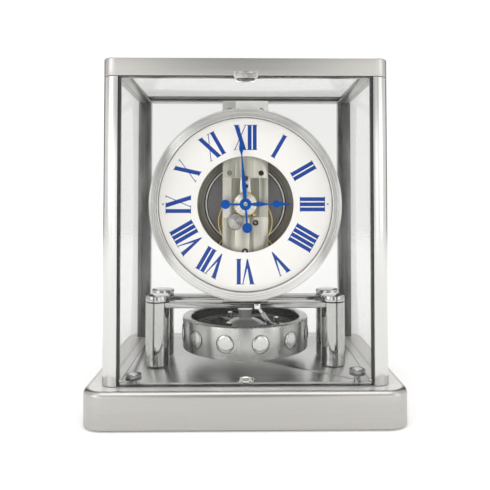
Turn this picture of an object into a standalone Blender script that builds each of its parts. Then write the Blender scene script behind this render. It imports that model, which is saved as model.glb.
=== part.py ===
"""Atmospheric clock: a torsion-pendulum mantel clock in a metal case with glass panes.

Metres, +Z up. The origin is at the bottom centre, under the pads that the clock stands on, and
+Y points to its back. The hands turn about the Y axis and the pendulum turns about a vertical one.
"""

import math

import bmesh
import bpy
from mathutils import Matrix, Vector

MM = 0.001
GAP = 0.3 * MM  # left between pieces that touch on the real clock
OVERRUN = 1.0 * MM  # how far a cutter runs past what it cuts
MERGE = 0.01 * MM

# Case
OVERALL_HEIGHT = 225.0 * MM
UNIT = OVERALL_HEIGHT / 225.0  # the length of a millimetre in all that fills the case's height
CASE_WIDTH = 178.0 * MM
CASE_DEPTH = 135.0 * MM
LEDGE = 10.0 * MM  # how far the plinth stands out past the case
PAD_HEIGHT = 1.2 * MM
PAD_WIDTH = 12.0 * MM
PLINTH_TOP = 23.2 * UNIT
PLINTH_CORNER_RADIUS = 14.0 * MM
PLINTH_EDGE_RADIUS = 3.4 * MM
PLINTH_WALL = 4.0 * MM
PLINTH_DECK = 4.0 * MM
FLOOR_THICKNESS = 1.6 * MM
COVER_THICKNESS = 1.5 * MM
FASCIA_HEIGHT = 11.4 * MM
CAP_RAIL_HEIGHT = 5.6 * MM
CAP_EDGE_RADIUS = 0.8 * MM
POST_WIDTH = 10.2 * MM
POST_DEPTH = 8.8 * MM
POST_CORNER_RADIUS = 8.6 * MM
PANE_THICKNESS = 2.8 * MM
PANE_INSET = 0.4 * MM  # from the case's outer faces to the front and rear panes
SIDE_PANE_INSET = 2.2 * MM
TOP_PANE_LAP = 3.4 * MM  # how far the top pane lies on the cap's rails
TOP_PANE_DROP = 0.3 * MM
PIVOT_HEIGHT = 3.2 * MM  # of the door's pivot above the plinth
DOOR_PIN_RADIUS = 0.7 * MM
DOOR_PIN_REACH = 3.2 * MM  # into the pane on one side and into the post on the other
DOOR_CLEARANCE = 0.5 * MM  # under and above the door
TAB_WIDTH = 15.0 * MM
TAB_HEIGHT = 5.2 * MM
TAB_THICKNESS = 1.1 * MM
TAB_RISE = 2.6 * MM  # how far the tab stands above the cap's lower edge
TAB_CORNER = 1.6 * MM

# Spirit level and levelling screws, in front of the pendulum
FRONT_FITTINGS_SETBACK = 10.2 * MM  # from the case's front face to the middle of these
LEVEL_RADIUS = 5.6 * MM
LEVEL_RIM = 1.3 * MM
LEVEL_HEIGHT = 1.3 * MM
VIAL_HEIGHT = 0.9 * MM
SCREW_INSET = 19.0 * MM  # from the case's sides to the middles of the screws
SCREW_HEAD_RADIUS = 5.0 * MM
SCREW_HEAD_HEIGHT = 3.3 * MM
SCREW_STEM_RADIUS = 2.0 * MM
SCREW_TIP_HEIGHT = 0.5 * MM  # above the surface that the clock stands on
LEFT_HEAD_LIFT = 1.8 * MM  # from the floor plate to the underside of the head
RIGHT_HEAD_LIFT = 4.4 * MM

# Four round posts and two crossbars that carry the movement
ROUND_POST_RADIUS = 8.1 * UNIT
ROUND_POST_X = 60.7 * UNIT
FRONT_POST_SETBACK = 25.7 * UNIT  # from the pendulum's front to the middles of these posts
REAR_POST_Y = 7.5 * UNIT
POST_HEAD = 4.3 * UNIT  # of a round post above its crossbar
ROUND_POST_EDGE = 0.5 * UNIT
BAR_HEIGHT = 4.0 * UNIT
BAR_DEPTH = 11.0 * UNIT
BAR_CLEARANCE = 4.9 * UNIT  # from the pendulum's hub up to the crossbars
BAR_SEAT = 3.0 * UNIT  # how far a bar reaches into its post
BAR_EDGE = 0.5 * UNIT
BASE_WIDTH = 31.0 * UNIT
BASE_THICKNESS = 3.0 * UNIT
BASE_STEP = 9.8 * UNIT  # from the front plate to the front of the base
BASE_EDGE = 0.4 * UNIT

# Movement
PLATE_WIDTH = 32.0 * UNIT
PLATE_ABOVE = 73.0 * UNIT  # from the dial's centre to the plates' upper edge
PLATE_THICKNESS = 2.0 * UNIT
FRONT_PLATE_Y = -17.5 * UNIT  # its front face
REAR_PLATE_Y = -6.5 * UNIT  # its front face
STRIP_WIDTH = 13.4 * UNIT
STRIP_RELIEF = 0.5 * UNIT
CUTOUT_HALF_WIDTH = 9.7 * UNIT
CUTOUT_ABOVE = 18.4 * UNIT  # from the dial's centre
CUTOUT_BELOW = 9.1 * UNIT
TONGUE_WIDTH = 7.0 * UNIT
TONGUE_LENGTH = 9.0 * UNIT
PILLAR_RADIUS = 1.6 * UNIT
PILLAR_INSET_X = 1.9 * UNIT
PILLAR_INSET_Z = 1.9 * UNIT
PILLAR_TOP_INSET = 9.0 * UNIT
ARBOR_RADIUS = 0.9 * UNIT
ARBOR_SEAT = 1.5 * UNIT  # how far an arbor reaches into a plate
CENTRE_BRIDGE_WIDTH = 26.0 * UNIT
CENTRE_BRIDGE_HEIGHT = 6.0 * UNIT
CENTRE_BRIDGE_THICKNESS = 1.2 * UNIT
BRIDGE_LUG_LENGTH = 3.0 * UNIT
WHEEL_THICKNESS = 1.0 * UNIT
LAYER_SPACING = 1.5 * UNIT
INTERMEDIATE_BELOW = 12.6 * UNIT  # arbors, from the dial's centre
BARREL_DISTANCE = 28.026 * UNIT  # from the intermediate arbor down to the barrel's
ESCAPE_ABOVE = 17.8 * UNIT
PALLET_ABOVE = 32.0 * UNIT
MINUTE_WHEEL_X = -7.1 * UNIT
MINUTE_WHEEL_BELOW = 12.2 * UNIT
BARREL_DRUM_RADIUS = 14.0 * UNIT
BARREL_DRUM_THICKNESS = 1.2 * UNIT
ESCAPE_RADIUS = 6.5 * UNIT
ESCAPE_TOOTH = 1.5 * UNIT
PALLET_STONE_REACH = 5.6 * UNIT
PALLET_STONE_DROP = 8.4 * UNIT
PALLET_STONE_SIZE = 1.2 * UNIT
PALLET_ARM_WIDTH = 1.8 * UNIT
RIM_WIDTH = 2.0 * UNIT
SPOKE_WIDTH = 2.2 * UNIT
WHEEL_HUB_RADIUS = 4.0 * UNIT
INTERMEDIATE_HUB_RADIUS = 7.4 * UNIT

CENTRE_TEETH = 36
INTERMEDIATE_SMALL_TEETH = 15
INTERMEDIATE_TEETH = 50
ESCAPE_DRIVE_TEETH = 30
BARREL_TEETH = 54
INTERMEDIATE_LARGE_PINION_TEETH = 14
HOUR_TEETH = 36
MINUTE_TEETH = 24
ESCAPE_TEETH = 15
TOOTH_TIP_SHARE = 0.75  # shares of a wheel's module
TOOTH_ROOT_SHARE = 1.0
TOOTH_TOP_SHARE = 0.1  # shares of the tooth pitch, to either side of a tooth's middle
TOOTH_FOOT_SHARE = 0.26

# Dial and hands
DIAL_Y = -30.0 * UNIT  # its front face
DIAL_THICKNESS = 1.0 * UNIT
DIAL_VISIBLE_RADIUS = 58.5 * UNIT
DIAL_WINDOW_RADIUS = 32.5 * UNIT
DIAL_LAP = 1.5 * UNIT  # under the bezel's lip
BEZEL_RADIUS = 66.3 * UNIT
BEZEL_FLANGE = 1.0 * UNIT
BEZEL_FLANGE_DEPTH = 1.2 * UNIT
BEZEL_RISE = 4.6 * UNIT  # in front of the dial
BEZEL_CROWN_WIDTH = 4.4 * UNIT
BEZEL_LIP_THICKNESS = 1.2 * UNIT
BEZEL_BACK = 1.0 * UNIT  # behind the dial's back
DIAL_FOOT_RADIUS = 2.0 * UNIT
DIAL_FOOT_OFFSET = 45.0 * UNIT
HOUR_PIPE_RADIUS = 1.9 * UNIT
HAND_THICKNESS = 0.6 * UNIT
HAND_SPACING = 1.6 * UNIT
HOUR_HAND_LIFT = 1.8 * UNIT  # from the dial to the back of the hour hand
HAND_HUB_RADIUS = 4.05 * UNIT
HAND_NUT_HEIGHT = 0.7 * UNIT
MINUTE_ANGLE = -4.4  # degrees clockwise from the hour of twelve
HOUR_HAND_LENGTH = 33.0 * UNIT
HOUR_HAND_WIDTH = 2.9 * UNIT
HOUR_DISC_RADIUS = 2.85 * UNIT
HOUR_TAIL_LENGTH = 13.5 * UNIT
HOUR_TAIL_RADIUS = 3.15 * UNIT
MINUTE_HAND_LENGTH = 53.8 * UNIT
MINUTE_HAND_WIDTH = 2.85 * UNIT
MINUTE_TAIL_LENGTH = 16.0 * UNIT
MINUTE_TAIL_RADIUS = 3.4 * UNIT
TAIL_BAR_WIDTH = 1.3 * UNIT

# Bellows drum behind the movement
DRUM_RADIUS = 45.0 * UNIT
DRUM_FRONT_Y = 3.5 * UNIT
DRUM_DEPTH = 34.0 * UNIT
DRUM_WALL = 1.5 * UNIT
LID_THICKNESS = 1.7 * UNIT
LID_FACE_RADIUS = 28.9 * UNIT
LID_BEAD_WIDTH = 0.9 * UNIT
LID_RECESS = 0.8 * UNIT
DRUM_BOSS_RADIUS = 2.5 * UNIT
DRUM_BOSS_X = 11.0 * UNIT
DRUM_BOSS_Z = 34.0 * UNIT
BELLOWS_RADIUS = 39.0 * UNIT
BELLOWS_FOLD = 4.5 * UNIT
BELLOWS_FOLDS = 5
BELLOWS_LENGTH = 22.0 * UNIT
BELLOWS_NECK_RADIUS = 2.0 * UNIT
PRESSURE_PLATE_RADIUS = 30.0 * UNIT
PRESSURE_PLATE_THICKNESS = 1.4 * UNIT

# Pendulum
PENDULUM_Y = -1.0 * UNIT
RING_RADIUS = 45.1 * UNIT
RING_WALL = 5.9 * UNIT
RING_CLEARANCE = 9.3 * UNIT  # from the floor plate up to the ring
RING_HEIGHT = 21.3 * UNIT
RING_EDGE = 1.0 * UNIT
STUD_COUNT = 12
STUD_RADIUS = 5.9 * UNIT
STUD_RISE = 1.0 * UNIT
STUD_PHASE = -17.4  # degrees from the front, towards the left, of the first stud
STUD_EDGE_SHARE = 0.35  # of its radius, taken by a stud's rounded edge
DISC_DROP = 6.3 * UNIT  # from the ring's upper edge to the disc
DISC_THICKNESS = 2.0 * UNIT
DISC_RIM_WIDTH = 5.0 * UNIT
DISC_SPOKE_WIDTH = 9.0 * UNIT
DISC_SPOKES = 3
DISC_HUB_RADIUS = 9.0 * UNIT
PEG_RADIUS = 2.1 * UNIT
PEG_HEIGHT = 4.5 * UNIT
PEG_OFFSET = 22.5 * UNIT
HUB_RADIUS = 4.8 * UNIT
HUB_HEIGHT = 10.2 * UNIT
HUB_CAP_HEIGHT = 1.4 * UNIT
HUB_CAP_OVERHANG = 0.5 * UNIT
WIRE_RADIUS = 0.35 * UNIT
WIRE_DROP = 11.0 * UNIT  # from the plates' upper edge to the wire's
WIRE_BRACKET_WIDTH = 10.0 * UNIT
WIRE_BRACKET_HEIGHT = 7.0 * UNIT
WIRE_BRACKET_REACH = 6.2 * UNIT
WIRE_HOLE_RADIUS = 1.5 * UNIT

# Locking lever
LEVER_X = 8.0 * UNIT
LEVER_DEPTH = 4.6 * UNIT
LEVER_BOSS_RADIUS = 2.05 * UNIT
LEVER_ARM_X = 9.2 * UNIT  # from the pivot to the middle of the arm's end
LEVER_ARM_DROP = 13.0 * UNIT
LEVER_ARM_RADIUS = 1.6 * UNIT
LEVER_ARM_THICKNESS = 3.0 * UNIT
LEVER_PIN_RADIUS = 0.9 * UNIT
LEVER_PIN_LENGTH = 4.0 * UNIT

# Faceting
LARGE_STEPS = 72
MEDIUM_STEPS = 40
SMALL_STEPS = 16
TINY_STEPS = 10
CORNER_STEPS = 6

# Worked out
CASE_FRONT = -CASE_DEPTH / 2
CASE_BACK = CASE_DEPTH / 2
CASE_RIGHT = CASE_WIDTH / 2
CAP_FRONT_BOTTOM = OVERALL_HEIGHT - FASCIA_HEIGHT
CAP_RAIL_BOTTOM = OVERALL_HEIGHT - CAP_RAIL_HEIGHT
OPENING_RIGHT = CASE_RIGHT - POST_WIDTH
SCREW_OFFSET_X = CASE_RIGHT - SCREW_INSET
OPENING_BACK = CASE_BACK - POST_DEPTH
FLOOR_TOP = PLINTH_TOP
FITTINGS_Y = CASE_FRONT + FRONT_FITTINGS_SETBACK
DOOR_PIVOT_Y = CASE_FRONT + PANE_INSET + PANE_THICKNESS / 2
DOOR_PIVOT_Z = PLINTH_TOP + PIVOT_HEIGHT
RING_BOTTOM = PLINTH_TOP + RING_CLEARANCE
DISC_TOP = RING_BOTTOM + RING_HEIGHT - DISC_DROP
HUB_BOTTOM = DISC_TOP + GAP
BAR_BOTTOM = HUB_BOTTOM + HUB_HEIGHT + BAR_CLEARANCE
BAR_TOP = BAR_BOTTOM + BAR_HEIGHT
FRONT_POST_Y = PENDULUM_Y - RING_RADIUS + FRONT_POST_SETBACK
BASE_FRONT = FRONT_PLATE_Y - BASE_STEP
ROUND_POST_TOP = BAR_TOP + POST_HEAD
BAR_HALF_LENGTH = ROUND_POST_X - ROUND_POST_RADIUS + BAR_SEAT
BASE_BOTTOM = BAR_TOP + GAP
BASE_TOP = BASE_BOTTOM + BASE_THICKNESS
PLATE_BOTTOM = BASE_TOP + GAP
BARREL_MODULE = 2 * BARREL_DISTANCE / (BARREL_TEETH + INTERMEDIATE_LARGE_PINION_TEETH)
BARREL_Z = PLATE_BOTTOM + BARREL_MODULE * (BARREL_TEETH / 2 + TOOTH_TIP_SHARE)
INTERMEDIATE_Z = BARREL_Z + BARREL_DISTANCE
DIAL_HEIGHT = INTERMEDIATE_Z + INTERMEDIATE_BELOW
PLATE_TOP = DIAL_HEIGHT + PLATE_ABOVE
WIRE_TOP = PLATE_TOP - WIRE_DROP
FRONT_PLATE_BACK = FRONT_PLATE_Y + PLATE_THICKNESS
REAR_PLATE_BACK = REAR_PLATE_Y + PLATE_THICKNESS
BRIDGE_FRONT = FRONT_PLATE_BACK + GAP
FIRST_LAYER = BRIDGE_FRONT + CENTRE_BRIDGE_THICKNESS + GAP
DIAL_BACK = DIAL_Y + DIAL_THICKNESS
DIAL_RADIUS = DIAL_VISIBLE_RADIUS + DIAL_LAP
HOUR_HAND_BACK = DIAL_Y - HOUR_HAND_LIFT
MINUTE_HAND_BACK = HOUR_HAND_BACK - HAND_SPACING
MINUTE_HAND_FRONT = MINUTE_HAND_BACK - HAND_THICKNESS
BORE_RADIUS = ARBOR_RADIUS + GAP
ESCAPE_Z = DIAL_HEIGHT + ESCAPE_ABOVE
PALLET_Z = DIAL_HEIGHT + PALLET_ABOVE
MINUTE_WHEEL_Z = DIAL_HEIGHT - MINUTE_WHEEL_BELOW
DRUM_BACK_Y = DRUM_FRONT_Y + DRUM_DEPTH
LEVER_Z = BAR_BOTTOM + BAR_HEIGHT / 2
FRONT_BAR_FRONT = FRONT_POST_Y - BAR_DEPTH / 2
FACING_FRONT = (math.pi / 2, 0, 0)  # turns a flat outline to stand up, facing the front
UPRIGHT_AXIS = (-math.pi / 2, 0, 0)  # turns a lathe's axis to point to the back


def clear_scene():
    """Remove every object, so that the script starts from nothing."""
    for old in list(bpy.data.objects):
        bpy.data.objects.remove(old, do_unlink=True)


def collection(name):
    """A new collection linked to the scene."""
    made = bpy.data.collections.new(name)
    bpy.context.scene.collection.children.link(made)
    return made


clear_scene()
PARTS = collection("atmospheric_clock")
CUTTERS = collection("cutters")


def finish(name, colour, roughness, metallic, see_through=0.0):
    """A Principled material with one colour."""
    made = bpy.data.materials.new(name)
    made.use_nodes = True
    shader = made.node_tree.nodes["Principled BSDF"]
    shader.inputs["Base Color"].default_value = (*colour, 1)
    shader.inputs["Roughness"].default_value = roughness
    shader.inputs["Metallic"].default_value = metallic
    shader.inputs["Transmission Weight"].default_value = see_through
    return made


def satin(name):
    """Satin silver metal."""
    return finish(name, (0.78, 0.77, 0.75), 0.35, 1)


def polished(name):
    """Mirror-polished silver metal."""
    return finish(name, (0.82, 0.82, 0.81), 0.08, 1)


def brass(name):
    """Gilt brass, as on the train wheels."""
    return finish(name, (0.85, 0.66, 0.28), 0.25, 1)


def steel(name):
    """Bright steel, as on arbors and pins."""
    return finish(name, (0.62, 0.62, 0.63), 0.2, 1)


def blue(name):
    """Blue lacquer, as on the hands."""
    return finish(name, (0.01, 0.08, 0.48), 0.35, 0)


def glass(name):
    """Clear glass."""
    return finish(name, (0.95, 0.97, 0.96), 0.02, 0, 1)


def add(name, data, look=None, at=(0, 0, 0), turn=(0, 0, 0), home=None):
    """Link new object data to the parts, or to another collection."""
    made = bpy.data.objects.new(name, data)
    made.location = at
    made.rotation_euler = turn
    (home or PARTS).objects.link(made)
    if look:
        data.materials.append(look(name + "_finish"))
    return made


def from_bmesh(name, shape, look=None, at=(0, 0, 0), turn=(0, 0, 0), home=None):
    """An object from a bmesh, with its round sides shaded smooth."""
    mesh = bpy.data.meshes.new(name)
    shape.to_mesh(mesh)
    shape.free()
    mesh.shade_smooth()
    mesh.set_sharp_from_angle(angle=math.radians(30))
    return add(name, mesh, look, at, turn, home)


def box(name, low, high, look=None, edge=0, plan_radius=0, top_edge=0, home=None):
    """A box between two corners.

    Its upright edges take plan_radius, then the rim of its top takes top_edge. A plain edge is a
    small bevel all round.
    """
    shape = bmesh.new()
    size = [high[i] - low[i] for i in range(3)]
    middle = [(high[i] + low[i]) / 2 for i in range(3)]
    bmesh.ops.create_cube(shape, size=1)
    bmesh.ops.scale(shape, vec=size, verts=shape.verts)
    bmesh.ops.translate(shape, vec=middle, verts=shape.verts)
    if plan_radius:
        uprights = [e for e in shape.edges if abs(e.verts[0].co.z - e.verts[1].co.z) > size[2] / 2]
        bmesh.ops.bevel(
            shape, geom=uprights, offset=plan_radius, segments=CORNER_STEPS, profile=0.5, affect="EDGES"
        )
    if top_edge:
        rim = [
            e for e in shape.edges if all(v.co.z > high[2] - MERGE for v in e.verts) and len(e.link_faces) == 2
        ]
        rim = [e for e in rim if any(abs(f.normal.z) < 0.5 for f in e.link_faces)]
        bmesh.ops.bevel(shape, geom=rim, offset=top_edge, segments=4, profile=0.5, affect="EDGES")
    made = from_bmesh(name, shape, look, home=home)
    if edge:
        bevel = made.modifiers.new("edge", "BEVEL")
        bevel.width = edge
        bevel.segments = 2
        bevel.limit_method = "ANGLE"
    return made


def rod(name, radius, start, end, look=None, steps=SMALL_STEPS, origin=None, home=None):
    """A cylinder between two points, with its origin at one of its own or at a given point."""
    start = Vector(start)
    end = Vector(end)
    origin = Vector(origin) if origin is not None else start
    along = end - start
    shape = bmesh.new()
    bmesh.ops.create_cone(
        shape, cap_ends=True, segments=steps, radius1=radius, radius2=radius, depth=along.length
    )
    turn = Vector((0, 0, 1)).rotation_difference(along).to_matrix().to_4x4()
    bmesh.ops.transform(
        shape, matrix=Matrix.Translation((start + end) / 2 - origin) @ turn, verts=shape.verts
    )
    return from_bmesh(name, shape, look, at=origin, home=home)


def turned(name, profile, look=None, at=(0, 0, 0), turn=(0, 0, 0), steps=LARGE_STEPS, closed=False, home=None):
    """A lathe shape from (radius, height) points that run down its outer side.

    A closed profile goes on up its inner side, and makes a ring.
    """
    mesh = bpy.data.meshes.new(name)
    points = [(radius, 0, height) for radius, height in profile]
    edges = [(i, i + 1) for i in range(len(points) - 1)]
    if closed:
        edges.append((len(points) - 1, 0))
    mesh.from_pydata(points, edges, [])
    made = add(name, mesh, look, at, turn, home)
    screw = made.modifiers.new("lathe", "SCREW")
    screw.steps = steps
    screw.render_steps = steps
    screw.use_merge_vertices = True
    screw.merge_threshold = MERGE
    screw.use_smooth_shade = True
    return made


def outline(name, loops, thickness, look=None, at=(0, 0, 0), turn=FACING_FRONT, home=None):
    """A flat piece from closed loops of points, the first its edge and the others its holes."""
    curve = bpy.data.curves.new(name, "CURVE")
    curve.dimensions = "2D"
    curve.fill_mode = "BOTH"
    curve.extrude = thickness / 2
    for loop in loops:
        spline = curve.splines.new("POLY")
        spline.points.add(len(loop) - 1)
        for point, (x, y) in zip(spline.points, loop):
            point.co = (x, y, 0, 1)
        spline.use_cyclic_u = True
    return add(name, curve, look, at, turn, home)


def as_mesh(curve_object):
    """The same piece as a mesh object, so that it can be cut or joined."""
    bpy.context.view_layer.update()
    graph = bpy.context.evaluated_depsgraph_get()
    mesh = bpy.data.meshes.new_from_object(curve_object.evaluated_get(graph))
    shape = bmesh.new()
    shape.from_mesh(mesh)
    bmesh.ops.remove_doubles(shape, verts=shape.verts, dist=MERGE)
    shape.to_mesh(mesh)
    shape.free()
    name = curve_object.name
    home = curve_object.users_collection[0]
    placed = curve_object.matrix_world.copy()
    bpy.data.objects.remove(curve_object, do_unlink=True)
    made = bpy.data.objects.new(name, mesh)
    made.matrix_world = placed
    home.objects.link(made)
    return made


def combine(target, tool, operation):
    """A live Boolean of the target with a hidden tool."""
    if tool.name not in CUTTERS.objects:
        for home in list(tool.users_collection):
            home.objects.unlink(tool)
        CUTTERS.objects.link(tool)
    tool.hide_render = True
    tool.display_type = "WIRE"
    boolean = target.modifiers.new(operation.lower(), "BOOLEAN")
    boolean.operation = operation
    boolean.object = tool
    boolean.solver = "EXACT"
    return target


def cut(target, tool):
    """Take the tool's shape out of the target."""
    return combine(target, tool, "DIFFERENCE")


def join(target, tool):
    """Make the tool's shape part of the target."""
    return combine(target, tool, "UNION")


def circle(radius, steps, centre=(0, 0)):
    """Points round a circle."""
    return [
        (
            centre[0] + radius * math.cos(math.tau * i / steps),
            centre[1] + radius * math.sin(math.tau * i / steps),
        )
        for i in range(steps)
    ]


def arc(radius, start, end, steps, centre=(0, 0)):
    """Points along an arc, its ends included."""
    return [
        (
            centre[0] + radius * math.cos(start + (end - start) * i / steps),
            centre[1] + radius * math.sin(start + (end - start) * i / steps),
        )
        for i in range(steps + 1)
    ]


def toothed(radius, teeth, phase):
    """The edge of a toothed wheel of a pitch radius, with its first tooth at an angle."""
    module = 2 * radius / teeth
    pitch = math.tau / teeth
    tip = radius + TOOTH_TIP_SHARE * module
    root = radius - TOOTH_ROOT_SHARE * module
    points = []
    for i in range(teeth):
        middle = phase + i * pitch
        for reach, share in (
            (root, -TOOTH_FOOT_SHARE),
            (tip, -TOOTH_TOP_SHARE),
            (tip, TOOTH_TOP_SHARE),
            (root, TOOTH_FOOT_SHARE),
        ):
            angle = middle + share * pitch
            points.append((reach * math.cos(angle), reach * math.sin(angle)))
    return points


def meshed_phase(centre, teeth, phase, other_centre, other_teeth):
    """The phase that puts the other wheel's gap at this wheel's tooth."""
    direction = math.atan2(other_centre[1] - centre[1], other_centre[0] - centre[0])
    here = (direction - phase) * teeth / math.tau
    return direction + math.pi - (0.5 - here) * math.tau / other_teeth


def crossings(inner, outer, spokes, spoke_width, phase=0.0):
    """The openings between a wheel's hub and rim, which leave straight spokes."""
    loops = []
    for i in range(spokes):
        start = phase + math.tau * i / spokes
        end = start + math.tau / spokes
        outer_share = spoke_width / 2 / outer
        inner_share = spoke_width / 2 / inner
        loops.append(
            arc(outer, start + outer_share, end - outer_share, 7)
            + arc(inner, end - inner_share, start + inner_share, 4)
        )
    return loops


def pitch_radii(distance, teeth, other_teeth):
    """The two pitch radii of meshing wheels at a distance."""
    total = teeth + other_teeth
    return distance * teeth / total, distance * other_teeth / total


def make_plinth():
    """The plinth, open below, with a deck that takes the floor plate."""
    half_x = CASE_RIGHT + LEDGE
    half_y = CASE_BACK + LEDGE
    plinth = box(
        "plinth",
        (-half_x, -half_y, PAD_HEIGHT),
        (half_x, half_y, PLINTH_TOP),
        satin,
        plan_radius=PLINTH_CORNER_RADIUS,
        top_edge=PLINTH_EDGE_RADIUS,
    )
    inner_x = half_x - PLINTH_WALL
    inner_y = half_y - PLINTH_WALL
    cut(
        plinth,
        box(
            "plinth_hollow",
            (-inner_x, -inner_y, PAD_HEIGHT - OVERRUN),
            (inner_x, inner_y, PLINTH_TOP - PLINTH_DECK),
            plan_radius=PLINTH_CORNER_RADIUS - PLINTH_WALL,
            home=CUTTERS,
        ),
    )
    floor_x = OPENING_RIGHT - GAP
    floor_y = OPENING_BACK - GAP
    cut(
        plinth,
        box(
            "floor_recess",
            (-floor_x - GAP, -floor_y - GAP, PLINTH_TOP - FLOOR_THICKNESS - GAP),
            (floor_x + GAP, floor_y + GAP, PLINTH_TOP + OVERRUN),
            home=CUTTERS,
        ),
    )
    floor = box(
        "floor_plate",
        (-floor_x, -floor_y, FLOOR_TOP - FLOOR_THICKNESS),
        (floor_x, floor_y, FLOOR_TOP),
        satin,
    )
    cover = box(
        "base_cover",
        (-inner_x + GAP, -inner_y + GAP, PAD_HEIGHT),
        (inner_x - GAP, inner_y - GAP, PAD_HEIGHT + COVER_THICKNESS),
        lambda name: finish(name, (0.05, 0.05, 0.05), 0.6, 0),
        plan_radius=PLINTH_CORNER_RADIUS - PLINTH_WALL - GAP,
    )
    for side in (-1, 1):
        for piece, label in ((plinth, "plinth"), (floor, "floor"), (cover, "cover")):
            hole = rod(
                f"{label}_screw_hole",
                SCREW_STEM_RADIUS + GAP,
                (side * SCREW_OFFSET_X, FITTINGS_Y, -OVERRUN),
                (side * SCREW_OFFSET_X, FITTINGS_Y, PLINTH_TOP + OVERRUN),
                home=CUTTERS,
            )
            cut(piece, hole)
    for label, side in (("left", -1), ("right", 1)):
        middle = side * (half_x - PLINTH_CORNER_RADIUS - PAD_WIDTH / 2)
        box(
            f"foot_pad_{label}",
            (middle - PAD_WIDTH / 2, -half_y + PLINTH_CORNER_RADIUS, 0),
            (middle + PAD_WIDTH / 2, half_y - PLINTH_CORNER_RADIUS, PAD_HEIGHT - GAP),
            lambda name: finish(name, (0.03, 0.03, 0.03), 0.9, 0),
        )


def post_section():
    """The section of a corner post: a quarter round with two flat inner sides."""
    flat_x = POST_WIDTH - POST_CORNER_RADIUS
    flat_y = POST_DEPTH - POST_CORNER_RADIUS
    curve = arc(POST_CORNER_RADIUS, 0, math.pi / 2, 2 * CORNER_STEPS, (flat_x, flat_y))
    return [(0, 0), (POST_WIDTH, 0)] + curve + [(0, POST_DEPTH)]


def make_corner_posts():
    """Four quarter-round posts between the plinth and the cap."""
    bottom = PLINTH_TOP + GAP
    for row, y_sign, top in (("front", -1, CAP_FRONT_BOTTOM - GAP), ("rear", 1, CAP_RAIL_BOTTOM - GAP)):
        for label, x_sign in (("left", -1), ("right", 1)):
            loop = [
                (x_sign * (OPENING_RIGHT + x), y_sign * (OPENING_BACK + y)) for x, y in post_section()
            ]
            post = outline(
                f"corner_post_{row}_{label}",
                [loop],
                top - bottom,
                at=(0, 0, (top + bottom) / 2),
                turn=(0, 0, 0),
            )
            post = as_mesh(post)
            post.data.materials.append(satin(post.name + "_finish"))
            if row == "front":
                hole = rod(
                    f"post_pin_hole_{label}",
                    DOOR_PIN_RADIUS + GAP,
                    (x_sign * (OPENING_RIGHT - OVERRUN), DOOR_PIVOT_Y, DOOR_PIVOT_Z),
                    (x_sign * (OPENING_RIGHT + DOOR_PIN_REACH + GAP), DOOR_PIVOT_Y, DOOR_PIVOT_Z),
                    steps=TINY_STEPS,
                    home=CUTTERS,
                )
                cut(post, hole)


def make_cap():
    """The cap: rails on all sides, a deeper fascia in front, and a rebate for the top pane."""
    cap = box(
        "cap_frame",
        (-CASE_RIGHT, CASE_FRONT, CAP_FRONT_BOTTOM),
        (CASE_RIGHT, CASE_BACK, OVERALL_HEIGHT),
        satin,
        plan_radius=POST_CORNER_RADIUS,
        top_edge=CAP_EDGE_RADIUS,
    )
    cut(
        cap,
        box(
            "cap_underside",
            (-CASE_RIGHT - OVERRUN, -OPENING_BACK, CAP_FRONT_BOTTOM - OVERRUN),
            (CASE_RIGHT + OVERRUN, CASE_BACK + OVERRUN, CAP_RAIL_BOTTOM),
            home=CUTTERS,
        ),
    )
    cut(
        cap,
        box(
            "cap_opening",
            (-OPENING_RIGHT, -OPENING_BACK, CAP_FRONT_BOTTOM - OVERRUN),
            (OPENING_RIGHT, OPENING_BACK, OVERALL_HEIGHT + OVERRUN),
            home=CUTTERS,
        ),
    )
    lap_x = OPENING_RIGHT + TOP_PANE_LAP
    lap_y = OPENING_BACK + TOP_PANE_LAP
    seat = OVERALL_HEIGHT - TOP_PANE_DROP - PANE_THICKNESS
    cut(
        cap,
        box(
            "cap_rebate",
            (-lap_x, -lap_y, seat - GAP),
            (lap_x, lap_y, OVERALL_HEIGHT + OVERRUN),
            home=CUTTERS,
        ),
    )
    box(
        "top_pane",
        (-lap_x + GAP, -lap_y + GAP, seat),
        (lap_x - GAP, lap_y - GAP, seat + PANE_THICKNESS),
        glass,
    )


def make_panes():
    """The left, right and rear panes."""
    bottom = PLINTH_TOP + GAP
    top = CAP_RAIL_BOTTOM - GAP
    outer = CASE_RIGHT - SIDE_PANE_INSET
    for label, side in (("left", -1), ("right", 1)):
        near, far = sorted((side * (outer - PANE_THICKNESS), side * outer))
        box(
            f"side_pane_{label}",
            (near, -OPENING_BACK + GAP, bottom),
            (far, OPENING_BACK - GAP, top),
            glass,
        )
    back = CASE_BACK - PANE_INSET
    box(
        "rear_pane",
        (-OPENING_RIGHT + GAP, back - PANE_THICKNESS, bottom),
        (OPENING_RIGHT - GAP, back, top),
        glass,
    )


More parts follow.
